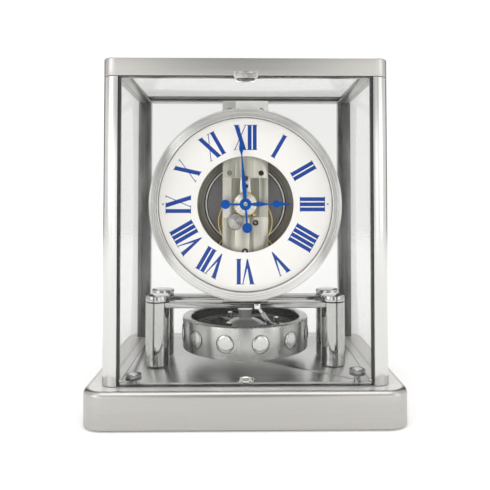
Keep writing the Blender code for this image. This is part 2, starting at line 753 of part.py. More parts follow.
def make_door():
    """The front pane, which drops open on two pins at its lower corners, and its pull tab."""
    half = OPENING_RIGHT - GAP
    rise = CAP_FRONT_BOTTOM - DOOR_CLEARANCE - DOOR_PIVOT_Z
    drop = PIVOT_HEIGHT - DOOR_CLEARANCE
    shape = bmesh.new()
    bmesh.ops.create_cube(shape, size=1)
    bmesh.ops.scale(shape, vec=(2 * half, PANE_THICKNESS, rise + drop), verts=shape.verts)
    bmesh.ops.translate(shape, vec=(0, 0, (rise - drop) / 2), verts=shape.verts)
    door = from_bmesh("front_door_pane", shape, glass, at=(0, DOOR_PIVOT_Y, DOOR_PIVOT_Z))
    for label, side in (("left", -1), ("right", 1)):
        pin_in = side * (OPENING_RIGHT - DOOR_PIN_REACH)
        pin_out = side * (OPENING_RIGHT + DOOR_PIN_REACH)
        hole = rod(
            f"door_pin_hole_{label}",
            DOOR_PIN_RADIUS + GAP,
            (pin_in - side * GAP, DOOR_PIVOT_Y, DOOR_PIVOT_Z),
            (side * (OPENING_RIGHT + OVERRUN), DOOR_PIVOT_Y, DOOR_PIVOT_Z),
            steps=TINY_STEPS,
            home=CUTTERS,
        )
        cut(door, hole)
        rod(
            f"door_pin_{label}",
            DOOR_PIN_RADIUS,
            (pin_in, DOOR_PIVOT_Y, DOOR_PIVOT_Z),
            (pin_out, DOOR_PIVOT_Y, DOOR_PIVOT_Z),
            steel,
            steps=TINY_STEPS,
        )
    half = TAB_WIDTH / 2
    low = CAP_FRONT_BOTTOM + TAB_RISE - TAB_HEIGHT - DOOR_PIVOT_Z
    high = low + TAB_HEIGHT
    loop = [
        (-half, high),
        (-half, low + TAB_CORNER),
        (-half + TAB_CORNER, low),
        (half - TAB_CORNER, low),
        (half, low + TAB_CORNER),
        (half, high),
    ]
    depth = PANE_THICKNESS / 2 + PANE_INSET + GAP + TAB_THICKNESS / 2
    tab = outline(
        "door_tab", [loop], TAB_THICKNESS, at=(0, DOOR_PIVOT_Y - depth, DOOR_PIVOT_Z)
    )
    tab.data.materials.append(polished("door_tab_finish"))


def make_front_fittings():
    """The spirit level in the floor and the two knurled levelling screws."""
    bottom = FLOOR_TOP + GAP
    rim_top = bottom + LEVEL_HEIGHT
    inner = LEVEL_RADIUS - LEVEL_RIM
    turned(
        "level_rim",
        [(inner, rim_top), (LEVEL_RADIUS - MERGE, rim_top), (LEVEL_RADIUS, bottom), (inner, bottom)],
        polished,
        at=(0, FITTINGS_Y, 0),
        steps=MEDIUM_STEPS,
        closed=True,
    )
    rod(
        "level_vial",
        inner - GAP,
        (0, FITTINGS_Y, bottom),
        (0, FITTINGS_Y, bottom + VIAL_HEIGHT),
        glass,
        steps=MEDIUM_STEPS,
    )
    for label, side, lift in (("left", -1, LEFT_HEAD_LIFT), ("right", 1, RIGHT_HEAD_LIFT)):
        under = FLOOR_TOP + lift
        edge = SCREW_HEAD_HEIGHT / 6
        turned(
            f"levelling_screw_{label}",
            [
                (0, under + SCREW_HEAD_HEIGHT),
                (SCREW_HEAD_RADIUS - edge, under + SCREW_HEAD_HEIGHT),
                (SCREW_HEAD_RADIUS, under + SCREW_HEAD_HEIGHT - edge),
                (SCREW_HEAD_RADIUS, under + edge),
                (SCREW_HEAD_RADIUS - edge, under),
                (SCREW_STEM_RADIUS, under),
                (SCREW_STEM_RADIUS, SCREW_TIP_HEIGHT),
                (0, SCREW_TIP_HEIGHT),
            ],
            polished,
            at=(side * SCREW_OFFSET_X, FITTINGS_Y, 0),
            steps=SMALL_STEPS + TINY_STEPS,
        )


def make_round_posts():
    """Four polished posts, each slotted for the end of a crossbar, and the two crossbars."""
    bottom = FLOOR_TOP + GAP
    top = ROUND_POST_TOP
    edge = ROUND_POST_EDGE
    for row, y in (("front", FRONT_POST_Y), ("rear", REAR_POST_Y)):
        for label, side in (("left", -1), ("right", 1)):
            post = turned(
                f"round_post_{row}_{label}",
                [
                    (0, top),
                    (ROUND_POST_RADIUS - edge, top),
                    (ROUND_POST_RADIUS, top - edge),
                    (ROUND_POST_RADIUS, bottom + edge),
                    (ROUND_POST_RADIUS - edge, bottom),
                    (0, bottom),
                ],
                polished,
                at=(side * ROUND_POST_X, y, 0),
                steps=MEDIUM_STEPS,
            )
            inner = side * (ROUND_POST_X - 2 * ROUND_POST_RADIUS)
            outer = side * (BAR_HALF_LENGTH + GAP)
            near, far = sorted((inner, outer))
            slot = box(
                f"bar_slot_{row}_{label}",
                (near, y - BAR_DEPTH / 2 - GAP, BAR_BOTTOM - GAP),
                (far, y + BAR_DEPTH / 2 + GAP, BAR_TOP + GAP),
                home=CUTTERS,
            )
            cut(post, slot)
        bar = box(
            f"crossbar_{row}",
            (-BAR_HALF_LENGTH, y - BAR_DEPTH / 2, BAR_BOTTOM),
            (BAR_HALF_LENGTH, y + BAR_DEPTH / 2, BAR_TOP),
            satin,
            edge=BAR_EDGE,
        )
        if row == "front":
            hole = rod(
                "lever_pin_hole",
                LEVER_PIN_RADIUS + GAP,
                (LEVER_X, FRONT_BAR_FRONT - OVERRUN, LEVER_Z),
                (LEVER_X, FRONT_BAR_FRONT + LEVER_PIN_LENGTH, LEVER_Z),
                steps=TINY_STEPS,
                home=CUTTERS,
            )
            cut(bar, hole)


def make_movement_base():
    """The plate on the crossbars that carries the movement, with a hole for the wire."""
    base = box(
        "movement_base",
        (-BASE_WIDTH / 2, BASE_FRONT, BASE_BOTTOM),
        (BASE_WIDTH / 2, REAR_POST_Y + BAR_DEPTH / 2, BASE_TOP),
        satin,
        edge=BASE_EDGE,
    )
    hole = rod(
        "wire_hole",
        WIRE_HOLE_RADIUS,
        (0, PENDULUM_Y, BASE_BOTTOM - OVERRUN),
        (0, PENDULUM_Y, BASE_TOP + OVERRUN),
        home=CUTTERS,
    )
    cut(base, hole)


def arbor_holes(plate, y_low, places):
    """Bores through a plate for arbors at (x, z) places."""
    for i, (x, z) in enumerate(places):
        bore = rod(
            f"{plate.name}_bore_{i}",
            BORE_RADIUS,
            (x, y_low - OVERRUN, z),
            (x, y_low + PLATE_THICKNESS + STRIP_RELIEF + OVERRUN, z),
            steps=TINY_STEPS,
            home=CUTTERS,
        )
        cut(plate, bore)


def cutout_loop():
    """The front plate's cut-out."""
    half = CUTOUT_HALF_WIDTH
    return [(-half, -CUTOUT_BELOW), (half, -CUTOUT_BELOW), (half, CUTOUT_ABOVE), (-half, CUTOUT_ABOVE)]


def tongue_loop():
    """The tongue that hangs into the cut-out from above, with its root inside the plate."""
    radius = TONGUE_WIDTH / 2
    foot = CUTOUT_ABOVE - TONGUE_LENGTH + radius
    root = CUTOUT_ABOVE + TONGUE_LENGTH
    return [(radius, root), (-radius, root)] + arc(radius, math.pi, math.tau, CORNER_STEPS, (0, foot))


def make_plates():
    """The two movement plates and the four pillars between them."""
    half = PLATE_WIDTH / 2
    low = PLATE_BOTTOM - DIAL_HEIGHT
    high = PLATE_TOP - DIAL_HEIGHT
    edge = [(-half, low), (half, low), (half, high), (-half, high)]
    middle = FRONT_PLATE_Y + PLATE_THICKNESS / 2
    front = as_mesh(
        outline("front_plate", [edge, cutout_loop()], PLATE_THICKNESS, at=(0, middle, DIAL_HEIGHT))
    )
    front.data.materials.append(satin("front_plate_finish"))
    tongue = outline("tongue", [tongue_loop()], PLATE_THICKNESS - STRIP_RELIEF, at=(0, middle, DIAL_HEIGHT))
    join(front, as_mesh(tongue))
    strip = STRIP_WIDTH / 2
    for label, z_low, z_high in (
        ("lower", PLATE_BOTTOM + GAP, DIAL_HEIGHT - CUTOUT_BELOW - GAP),
        ("upper", DIAL_HEIGHT + CUTOUT_ABOVE + GAP, PLATE_TOP - GAP),
    ):
        join(
            front,
            box(
                f"strip_{label}",
                (-strip, FRONT_PLATE_Y - STRIP_RELIEF, z_low),
                (strip, middle, z_high),
                home=CUTTERS,
            ),
        )
    arbor_holes(
        front,
        FRONT_PLATE_Y - STRIP_RELIEF,
        [
            (0, INTERMEDIATE_Z),
            (0, BARREL_Z),
            (0, ESCAPE_Z),
            (0, PALLET_Z),
            (MINUTE_WHEEL_X, MINUTE_WHEEL_Z),
        ],
    )
    rear = box(
        "rear_plate",
        (-half, REAR_PLATE_Y, PLATE_BOTTOM),
        (half, REAR_PLATE_BACK, PLATE_TOP),
        satin,
    )
    for x in (-DRUM_BOSS_X, DRUM_BOSS_X):
        for z in (-DRUM_BOSS_Z, DRUM_BOSS_Z):
            join(
                rear,
                rod(
                    "drum_boss",
                    DRUM_BOSS_RADIUS,
                    (x, REAR_PLATE_Y + PLATE_THICKNESS / 2, DIAL_HEIGHT + z),
                    (x, DRUM_FRONT_Y - GAP, DIAL_HEIGHT + z),
                    steps=TINY_STEPS,
                    home=CUTTERS,
                ),
            )
    arbor_holes(rear, REAR_PLATE_Y, [(0, INTERMEDIATE_Z), (0, BARREL_Z), (0, ESCAPE_Z), (0, PALLET_Z)])
    pillar_x = half - PILLAR_INSET_X
    for height, z in (("lower", PLATE_BOTTOM + PILLAR_INSET_Z), ("upper", PLATE_TOP - PILLAR_TOP_INSET)):
        for label, side in (("left", -1), ("right", 1)):
            rod(
                f"plate_pillar_{height}_{label}",
                PILLAR_RADIUS,
                (side * pillar_x, FRONT_PLATE_BACK + GAP, z),
                (side * pillar_x, REAR_PLATE_Y - GAP, z),
                steel,
            )
    bridge = box(
        "centre_bridge",
        (-CENTRE_BRIDGE_WIDTH / 2, BRIDGE_FRONT, DIAL_HEIGHT - CENTRE_BRIDGE_HEIGHT / 2),
        (
            CENTRE_BRIDGE_WIDTH / 2,
            BRIDGE_FRONT + CENTRE_BRIDGE_THICKNESS,
            DIAL_HEIGHT + CENTRE_BRIDGE_HEIGHT / 2,
        ),
        satin,
    )
    bore = rod(
        "bridge_bore",
        BORE_RADIUS,
        (0, BRIDGE_FRONT - OVERRUN, DIAL_HEIGHT),
        (0, FIRST_LAYER + OVERRUN, DIAL_HEIGHT),
        home=CUTTERS,
    )
    cut(bridge, bore)


def wheel(name, radius, teeth, phase, y_front, centre, holes=(), home=None, thickness=WHEEL_THICKNESS):
    """A toothed wheel with its front face at y_front, as a mesh object."""
    loops = [toothed(radius, teeth, phase), *holes]
    return as_mesh(
        outline(name, loops, thickness, at=(centre[0], y_front + thickness / 2, centre[1]), home=home)
    )


def make_train():
    """The going train: centre arbor, intermediate wheel, barrel, escape wheel and pallet lever."""
    layers = [FIRST_LAYER + i * LAYER_SPACING for i in range(4)]
    centre = (0, DIAL_HEIGHT)
    intermediate = (0, INTERMEDIATE_Z)
    barrel = (0, BARREL_Z)
    escape = (0, ESCAPE_Z)
    plate_depth_front = FRONT_PLATE_BACK - ARBOR_SEAT
    plate_depth_rear = REAR_PLATE_Y + ARBOR_SEAT

    centre_r, small_r = pitch_radii(INTERMEDIATE_BELOW, CENTRE_TEETH, INTERMEDIATE_SMALL_TEETH)
    distance = ESCAPE_ABOVE + INTERMEDIATE_BELOW
    intermediate_r, drive_r = pitch_radii(distance, INTERMEDIATE_TEETH, ESCAPE_DRIVE_TEETH)
    barrel_r, large_r = pitch_radii(BARREL_DISTANCE, BARREL_TEETH, INTERMEDIATE_LARGE_PINION_TEETH)

    # centre arbor with its wheel
    arbor = wheel("centre_arbor", centre_r, CENTRE_TEETH, 0, layers[0], centre)
    arbor.data.materials.append(brass("centre_arbor_finish"))
    join(
        arbor,
        rod(
            "centre_rod",
            ARBOR_RADIUS,
            (0, MINUTE_HAND_BACK - HAND_THICKNESS / 2, DIAL_HEIGHT),
            (0, layers[0] + WHEEL_THICKNESS + MERGE, DIAL_HEIGHT),
            home=CUTTERS,
        ),
    )

    # intermediate wheel with its two pinions
    small_phase = meshed_phase(centre, CENTRE_TEETH, 0, intermediate, INTERMEDIATE_SMALL_TEETH)
    holes = crossings(INTERMEDIATE_HUB_RADIUS, intermediate_r - RIM_WIDTH, 5, SPOKE_WIDTH, math.pi / 2)
    between = wheel("intermediate_wheel", intermediate_r, INTERMEDIATE_TEETH, 0, layers[1], intermediate, holes)
    between.data.materials.append(brass("intermediate_wheel_finish"))
    join(between, wheel("small_pinion", small_r, INTERMEDIATE_SMALL_TEETH, small_phase, layers[0], intermediate))
    join(between, wheel("large_pinion", large_r, INTERMEDIATE_LARGE_PINION_TEETH, 0, layers[2], intermediate))
    join(
        between,
        rod(
            "intermediate_rod",
            ARBOR_RADIUS,
            (0, plate_depth_front, INTERMEDIATE_Z),
            (0, plate_depth_rear, INTERMEDIATE_Z),
            home=CUTTERS,
        ),
    )
    collar(between, intermediate, small_r / 2, layers[0], layers[2] + WHEEL_THICKNESS)

    # barrel
    barrel_phase = meshed_phase(intermediate, INTERMEDIATE_LARGE_PINION_TEETH, 0, barrel, BARREL_TEETH)
    holes = crossings(WHEEL_HUB_RADIUS, barrel_r - RIM_WIDTH, 5, SPOKE_WIDTH, math.pi / 2)
    drum = wheel("barrel", barrel_r, BARREL_TEETH, barrel_phase, layers[2], barrel, holes)
    drum.data.materials.append(brass("barrel_finish"))
    join(
        drum,
        rod(
            "spring_case",
            BARREL_DRUM_RADIUS,
            (0, layers[2] + WHEEL_THICKNESS / 2, BARREL_Z),
            (0, layers[2] + WHEEL_THICKNESS + BARREL_DRUM_THICKNESS, BARREL_Z),
            steps=MEDIUM_STEPS,
            home=CUTTERS,
        ),
    )
    join(
        drum,
        rod(
            "barrel_rod",
            ARBOR_RADIUS,
            (0, plate_depth_front, BARREL_Z),
            (0, plate_depth_rear, BARREL_Z),
            home=CUTTERS,
        ),
    )

    # escape wheel
    drive_phase = meshed_phase(intermediate, INTERMEDIATE_TEETH, 0, escape, ESCAPE_DRIVE_TEETH)
    holes = crossings(WHEEL_HUB_RADIUS, drive_r - RIM_WIDTH, 4, SPOKE_WIDTH)
    escaper = wheel("escape_wheel", drive_r, ESCAPE_DRIVE_TEETH, drive_phase, layers[1], escape, holes)
    escaper.data.materials.append(brass("escape_wheel_finish"))
    saw = as_mesh(
        outline(
            "escape_teeth",
            [escape_outline()],
            WHEEL_THICKNESS,
            at=(0, layers[3] + WHEEL_THICKNESS / 2, ESCAPE_Z),
        )
    )
    join(escaper, saw)
    join(
        escaper,
        rod(
            "escape_rod",
            ARBOR_RADIUS,
            (0, plate_depth_front, ESCAPE_Z),
            (0, plate_depth_rear, ESCAPE_Z),
            home=CUTTERS,
        ),
    )
    collar(escaper, escape, 2 * ARBOR_RADIUS, layers[1], layers[3] + WHEEL_THICKNESS)

    make_pallet_lever(layers[3], plate_depth_front, plate_depth_rear)


def collar(piece, centre, radius, start, end):
    """A stout collar that joins an arbor's wheels."""
    join(
        piece,
        rod(
            f"{piece.name}_collar",
            radius,
            (centre[0], start, centre[1]),
            (centre[0], end - MERGE, centre[1]),
            home=CUTTERS,
        ),
    )


def escape_outline():
    """A saw-toothed escape wheel."""
    points = []
    pitch = math.tau / ESCAPE_TEETH
    for i in range(ESCAPE_TEETH):
        start = i * pitch
        root = ESCAPE_RADIUS - ESCAPE_TOOTH
        points.append((root * math.cos(start), root * math.sin(start)))
        points.append((ESCAPE_RADIUS * math.cos(start), ESCAPE_RADIUS * math.sin(start)))
        lean = start + pitch / 3
        points.append((root * math.cos(lean), root * math.sin(lean)))
    return points


def make_pallet_lever(y_front, front_end, rear_end):
    """The anchor that the escape wheel rocks, clear of its teeth at rest."""
    reach = PALLET_STONE_REACH
    drop = PALLET_STONE_DROP
    width = PALLET_ARM_WIDTH
    stone = PALLET_STONE_SIZE / 2
    loop = [
        (-reach - stone, -drop),
        (-reach + stone, -drop),
        (-reach + width, -width),
        (reach - width, -width),
        (reach - stone, -drop),
        (reach + stone, -drop),
        (reach + stone, width / 2),
        (0, width),
        (-reach - stone, width / 2),
    ]
    lever = as_mesh(
        outline("pallet_lever", [loop], WHEEL_THICKNESS, at=(0, y_front + WHEEL_THICKNESS / 2, PALLET_Z))
    )
    lever.data.materials.append(steel("pallet_lever_finish"))
    join(
        lever,
        rod(
            "pallet_rod",
            ARBOR_RADIUS,
            (0, front_end, PALLET_Z),
            (0, rear_end, PALLET_Z),
            steps=TINY_STEPS,
            home=CUTTERS,
        ),
    )


def make_motion_work():
    """The hour wheel with its pipe, and the minute wheel beside it."""
    y_front = FRONT_PLATE_Y - STRIP_RELIEF - GAP - WHEEL_THICKNESS
    centre = (0, DIAL_HEIGHT)
    beside = (MINUTE_WHEEL_X, MINUTE_WHEEL_Z)
    distance = math.hypot(MINUTE_WHEEL_X, MINUTE_WHEEL_BELOW)
    hour_r, minute_r = pitch_radii(distance, HOUR_TEETH, MINUTE_TEETH)
    hour = wheel("hour_wheel", hour_r, HOUR_TEETH, 0, y_front, centre)
    hour.data.materials.append(satin("hour_wheel_finish"))
    pipe_front = HOUR_HAND_BACK - HAND_THICKNESS - GAP
    join(
        hour,
        rod(
            "hour_pipe",
            HOUR_PIPE_RADIUS,
            (0, pipe_front, DIAL_HEIGHT),
            (0, y_front + WHEEL_THICKNESS / 2, DIAL_HEIGHT),
            home=CUTTERS,
        ),
    )
    bore = rod(
        "hour_bore",
        BORE_RADIUS,
        (0, pipe_front - OVERRUN, DIAL_HEIGHT),
        (0, y_front + WHEEL_THICKNESS + OVERRUN, DIAL_HEIGHT),
        home=CUTTERS,
    )
    cut(hour, bore)
    phase = meshed_phase(centre, HOUR_TEETH, 0, beside, MINUTE_TEETH)
    minute = wheel("minute_wheel", minute_r, MINUTE_TEETH, phase, y_front, beside)
    minute.data.materials.append(satin("minute_wheel_finish"))
    join(
        minute,
        rod(
            "minute_stub",
            ARBOR_RADIUS,
            (MINUTE_WHEEL_X, y_front + WHEEL_THICKNESS / 2, MINUTE_WHEEL_Z),
            (MINUTE_WHEEL_X, FRONT_PLATE_BACK - GAP, MINUTE_WHEEL_Z),
            steps=TINY_STEPS,
            home=CUTTERS,
        ),
    )


def hand_loop(widths, discs):
    """The edge of a hand that points up: a leaf with discs on it.

    widths are (distance, half width) pairs from tail to tip, and discs are (distance, radius).
    """
    stations = {distance for distance, _ in widths}
    for middle, radius in discs:
        stations |= {middle - radius * math.cos(math.pi * i / 10) for i in range(11)}
    tail = min(stations)
    tip = max(stations)

    def half_width(distance):
        best = 0.0
        for (d0, w0), (d1, w1) in zip(widths, widths[1:]):
            if d0 <= distance <= d1:
                best = max(best, w0 + (w1 - w0) * (distance - d0) / (d1 - d0))
        for middle, radius in discs:
            inside = radius**2 - (distance - middle) ** 2
            if inside > 0:
                best = max(best, math.sqrt(inside))
        return best

    inner = sorted(d for d in stations if tail < d < tip)
    inner = [d for i, d in enumerate(inner) if i == 0 or d - inner[i - 1] > MERGE]
    right = [(half_width(d), d) for d in inner]
    left = [(-half_width(d), d) for d in reversed(inner)]
    return [(0, tail)] + right + [(0, tip)] + left


def place_hand(name, loops, y_back, degrees):
    """A hand turned clockwise from twelve, as a mesh object on the centre axis."""
    angle = math.radians(degrees)
    turned_loops = [
        [(x * math.cos(angle) + y * math.sin(angle), y * math.cos(angle) - x * math.sin(angle)) for x, y in loop]
        for loop in loops
    ]
    hand = outline(name, turned_loops, HAND_THICKNESS, at=(0, y_back - HAND_THICKNESS / 2, DIAL_HEIGHT))
    hand.data.materials.append(blue(name + "_finish"))
    return hand


def make_hands():
    """The hour hand, the minute hand and the nut at their centre."""
    leaf = HOUR_HAND_WIDTH / 2
    bar = TAIL_BAR_WIDTH / 2
    length = HOUR_HAND_LENGTH
    hour_widths = [
        (-HOUR_TAIL_LENGTH, bar),
        (0, bar),
        (0.12 * length, 0.5 * leaf),
        (0.27 * length, leaf),
        (0.36 * length, 0.7 * leaf),
        (0.49 * length, 0.27 * leaf),
        (0.56 * length, 0.5 * leaf),
        (0.72 * length, 1.2 * leaf),
        (0.84 * length, 0.45 * leaf),
        (length, 0),
    ]
    hour_discs = [
        (-HOUR_TAIL_LENGTH, HOUR_TAIL_RADIUS),
        (0, HAND_HUB_RADIUS),
        (0.635 * length, HOUR_DISC_RADIUS),
    ]
    pipe_hole = circle(HOUR_PIPE_RADIUS + GAP, SMALL_STEPS)
    hour_angle = 90 + MINUTE_ANGLE / 12
    place_hand("hour_hand", [hand_loop(hour_widths, hour_discs), pipe_hole], HOUR_HAND_BACK, hour_angle)
    leaf = MINUTE_HAND_WIDTH / 2
    length = MINUTE_HAND_LENGTH
    minute_widths = [
        (-MINUTE_TAIL_LENGTH, bar),
        (0, bar),
        (0.07 * length, 0.75 * leaf),
        (0.16 * length, 0.97 * leaf),
        (0.24 * length, leaf),
        (0.36 * length, 0.8 * leaf),
        (0.5 * length, 0.45 * leaf),
        (0.6 * length, 0.28 * leaf),
        (0.64 * length, 0.5 * leaf),
        (0.68 * length, 0.95 * leaf),
        (0.72 * length, 0.85 * leaf),
        (0.85 * length, 0.35 * leaf),
        (length, 0),
    ]
    minute_discs = [(-MINUTE_TAIL_LENGTH, MINUTE_TAIL_RADIUS), (0, HAND_HUB_RADIUS)]
    arbor_hole = circle(BORE_RADIUS, TINY_STEPS)
    place_hand("minute_hand", [hand_loop(minute_widths, minute_discs), arbor_hole], MINUTE_HAND_BACK, MINUTE_ANGLE)
    nut_back = MINUTE_HAND_BACK - HAND_THICKNESS / 2 - GAP
    rod(
        "hand_nut",
        ARBOR_RADIUS,
        (0, nut_back, DIAL_HEIGHT),
        (0, nut_back - HAND_NUT_HEIGHT, DIAL_HEIGHT),
        steel,
        steps=TINY_STEPS,
    )


def make_dial():
    """The dial ring, its bezel and the two feet that fix it to the front plate."""
    dial = outline(
        "dial_ring",
        [circle(DIAL_RADIUS, LARGE_STEPS), circle(DIAL_WINDOW_RADIUS, LARGE_STEPS)],
        DIAL_THICKNESS,
        at=(0, DIAL_Y + DIAL_THICKNESS / 2, DIAL_HEIGHT),
    )
    dial.data.materials.append(finish("dial_ring_finish", (0.9, 0.9, 0.86), 0.4, 0))
    # the lathe's height runs to the back, so the profile starts at the back
    back = DIAL_THICKNESS + BEZEL_BACK
    crown_out = BEZEL_RADIUS - BEZEL_FLANGE
    crown_in = crown_out - BEZEL_CROWN_WIDTH
    crown = [
        (
            crown_in + BEZEL_CROWN_WIDTH * math.cos(math.pi / 2 * i / 4),
            -BEZEL_RISE * math.sin(math.pi / 2 * i / 4),
        )
        for i in range(5)
    ]
    profile = [
        (DIAL_RADIUS + GAP, back),
        (BEZEL_RADIUS, back),
        (BEZEL_RADIUS, back - BEZEL_FLANGE_DEPTH),
        (crown_out, back - BEZEL_FLANGE_DEPTH),
        *crown,
        (DIAL_VISIBLE_RADIUS, -BEZEL_LIP_THICKNESS - GAP),
        (DIAL_VISIBLE_RADIUS, -GAP),
        (DIAL_RADIUS + GAP, -GAP),
    ]
    turned("bezel", profile, satin, at=(0, DIAL_Y, DIAL_HEIGHT), turn=UPRIGHT_AXIS, closed=True)
    for label, side in (("lower", -1), ("upper", 1)):
        z = DIAL_HEIGHT + side * DIAL_FOOT_OFFSET
        rod(
            f"dial_foot_{label}",
            DIAL_FOOT_RADIUS,
            (0, DIAL_BACK + GAP, z),
            (0, FRONT_PLATE_Y - STRIP_RELIEF - GAP, z),
            steel,
        )


def make_bellows_drum():
    """The drum behind the movement, with its lid, the bellows in it and their pressure plate."""
    lid_back = LID_THICKNESS
    bead = LID_FACE_RADIUS + LID_BEAD_WIDTH
    turned(
        "drum_lid",
        [
            (0, lid_back),
            (DRUM_RADIUS, lid_back),
            (DRUM_RADIUS, 0),
            (bead + LID_RECESS, 0),
            (bead, LID_RECESS),
            (bead, 0),
            (LID_FACE_RADIUS, 0),
            (LID_FACE_RADIUS, LID_RECESS),
            (0, LID_RECESS),
        ],
        lambda name: finish(name, (0.16, 0.155, 0.14), 0.45, 1),
        at=(0, DRUM_FRONT_Y, DIAL_HEIGHT),
        turn=UPRIGHT_AXIS,
        steps=LARGE_STEPS,
    )
    front = lid_back + GAP
    inner = DRUM_RADIUS - DRUM_WALL
    turned(
        "bellows_drum",
        [
            (0, DRUM_DEPTH),
            (DRUM_RADIUS - DRUM_WALL, DRUM_DEPTH),
            (DRUM_RADIUS, DRUM_DEPTH - DRUM_WALL),
            (DRUM_RADIUS, front),
            (inner, front),
            (inner, DRUM_DEPTH - DRUM_WALL),
            (0, DRUM_DEPTH - DRUM_WALL),
        ],
        lambda name: finish(name, (0.2, 0.2, 0.19), 0.4, 1),
        at=(0, DRUM_FRONT_Y, DIAL_HEIGHT),
        turn=UPRIGHT_AXIS,
        steps=LARGE_STEPS,
    )
    start = lid_back + GAP
    end = start + BELLOWS_LENGTH
    folds = []
    for i in range(BELLOWS_FOLDS):
        top = end - BELLOWS_LENGTH * i / BELLOWS_FOLDS
        under = end - BELLOWS_LENGTH * (i + 1) / BELLOWS_FOLDS
        folds.append((BELLOWS_RADIUS - BELLOWS_FOLD, top))
        folds.append((BELLOWS_RADIUS, (top + under) / 2))
    folds.append((BELLOWS_RADIUS - BELLOWS_FOLD, start))
    turned(
        "bellows",
        [(0, end), *folds, (0, start)],
        brass,
        at=(0, DRUM_FRONT_Y, DIAL_HEIGHT),
        turn=UPRIGHT_AXIS,
        steps=MEDIUM_STEPS,
    )
    plate_front = DRUM_FRONT_Y + end + GAP
    rod(
        "pressure_plate",
        PRESSURE_PLATE_RADIUS,
        (0, plate_front, DIAL_HEIGHT),
        (0, plate_front + PRESSURE_PLATE_THICKNESS, DIAL_HEIGHT),
        steel,
        steps=MEDIUM_STEPS,
    )


def make_pendulum():
    """The pendulum: its ring with twelve studs, its disc, its hub and its wire."""
    bottom = RING_BOTTOM
    top = RING_BOTTOM + RING_HEIGHT
    inner = RING_RADIUS - RING_WALL
    edge = RING_EDGE
    ring = turned(
        "pendulum_ring",
        [
            (inner, top),
            (RING_RADIUS - edge, top),
            (RING_RADIUS, top - edge),
            (RING_RADIUS, bottom + edge),
            (RING_RADIUS - edge, bottom),
            (inner, bottom),
        ],
        satin,
        at=(0, PENDULUM_Y, 0),
        closed=True,
    )
    rounding = STUD_RADIUS * STUD_EDGE_SHARE
    for i in range(STUD_COUNT):
        angle = math.radians(STUD_PHASE + i * 360 / STUD_COUNT)
        stud = turned(
            f"stud_{i}",
            [
                (0, RING_RADIUS + STUD_RISE),
                (STUD_RADIUS - rounding, RING_RADIUS + STUD_RISE),
                (STUD_RADIUS, RING_RADIUS),
                (STUD_RADIUS, RING_RADIUS - RING_WALL / 2),
                (0, RING_RADIUS - RING_WALL / 2),
            ],
            at=(0, PENDULUM_Y, bottom + RING_HEIGHT / 2),
            turn=(math.pi / 2, 0, angle),
            steps=SMALL_STEPS,
            home=CUTTERS,
        )
        join(ring, stud)
    disc_radius = inner - GAP
    disc_edge = circle(disc_radius, LARGE_STEPS)
    holes = crossings(DISC_HUB_RADIUS, disc_radius - DISC_RIM_WIDTH, DISC_SPOKES, DISC_SPOKE_WIDTH)
    disc = as_mesh(
        outline(
            "pendulum_disc",
            [disc_edge, *holes],
            DISC_THICKNESS,
            at=(0, PENDULUM_Y, DISC_TOP - DISC_THICKNESS / 2),
            turn=(0, 0, 0),
        )
    )
    disc.data.materials.append(steel("pendulum_disc_finish"))
    for i in range(DISC_SPOKES):
        angle = i * math.tau / DISC_SPOKES
        x = PEG_OFFSET * math.cos(angle)
        y = PENDULUM_Y + PEG_OFFSET * math.sin(angle)
        join(
            disc,
            rod(
                f"peg_{i}",
                PEG_RADIUS,
                (x, y, DISC_TOP - DISC_THICKNESS / 2),
                (x, y, DISC_TOP + PEG_HEIGHT),
                steps=TINY_STEPS,
                home=CUTTERS,
            ),
        )
    hub_bottom = HUB_BOTTOM
    hub_top = hub_bottom + HUB_HEIGHT
    cap_bottom = hub_top - HUB_CAP_HEIGHT
    turned(
        "pendulum_hub",
        [
            (0, hub_top),
            (HUB_RADIUS + HUB_CAP_OVERHANG, hub_top),
            (HUB_RADIUS + HUB_CAP_OVERHANG, cap_bottom),
            (HUB_RADIUS, cap_bottom),
            (HUB_RADIUS, hub_bottom),
            (0, hub_bottom),
        ],
        polished,
        at=(0, PENDULUM_Y, 0),
        steps=MEDIUM_STEPS,
    )
    rod(
        "suspension_wire",
        WIRE_RADIUS,
        (0, PENDULUM_Y, hub_top + GAP),
        (0, PENDULUM_Y, WIRE_TOP - GAP),
        steel,
        steps=TINY_STEPS,
    )
    box(
        "suspension_bracket",
        (-WIRE_BRACKET_WIDTH / 2, REAR_PLATE_BACK + GAP, WIRE_TOP),
        (WIRE_BRACKET_WIDTH / 2, REAR_PLATE_BACK + GAP + WIRE_BRACKET_REACH, WIRE_TOP + WIRE_BRACKET_HEIGHT),
        polished,
        edge=BASE_EDGE,
    )


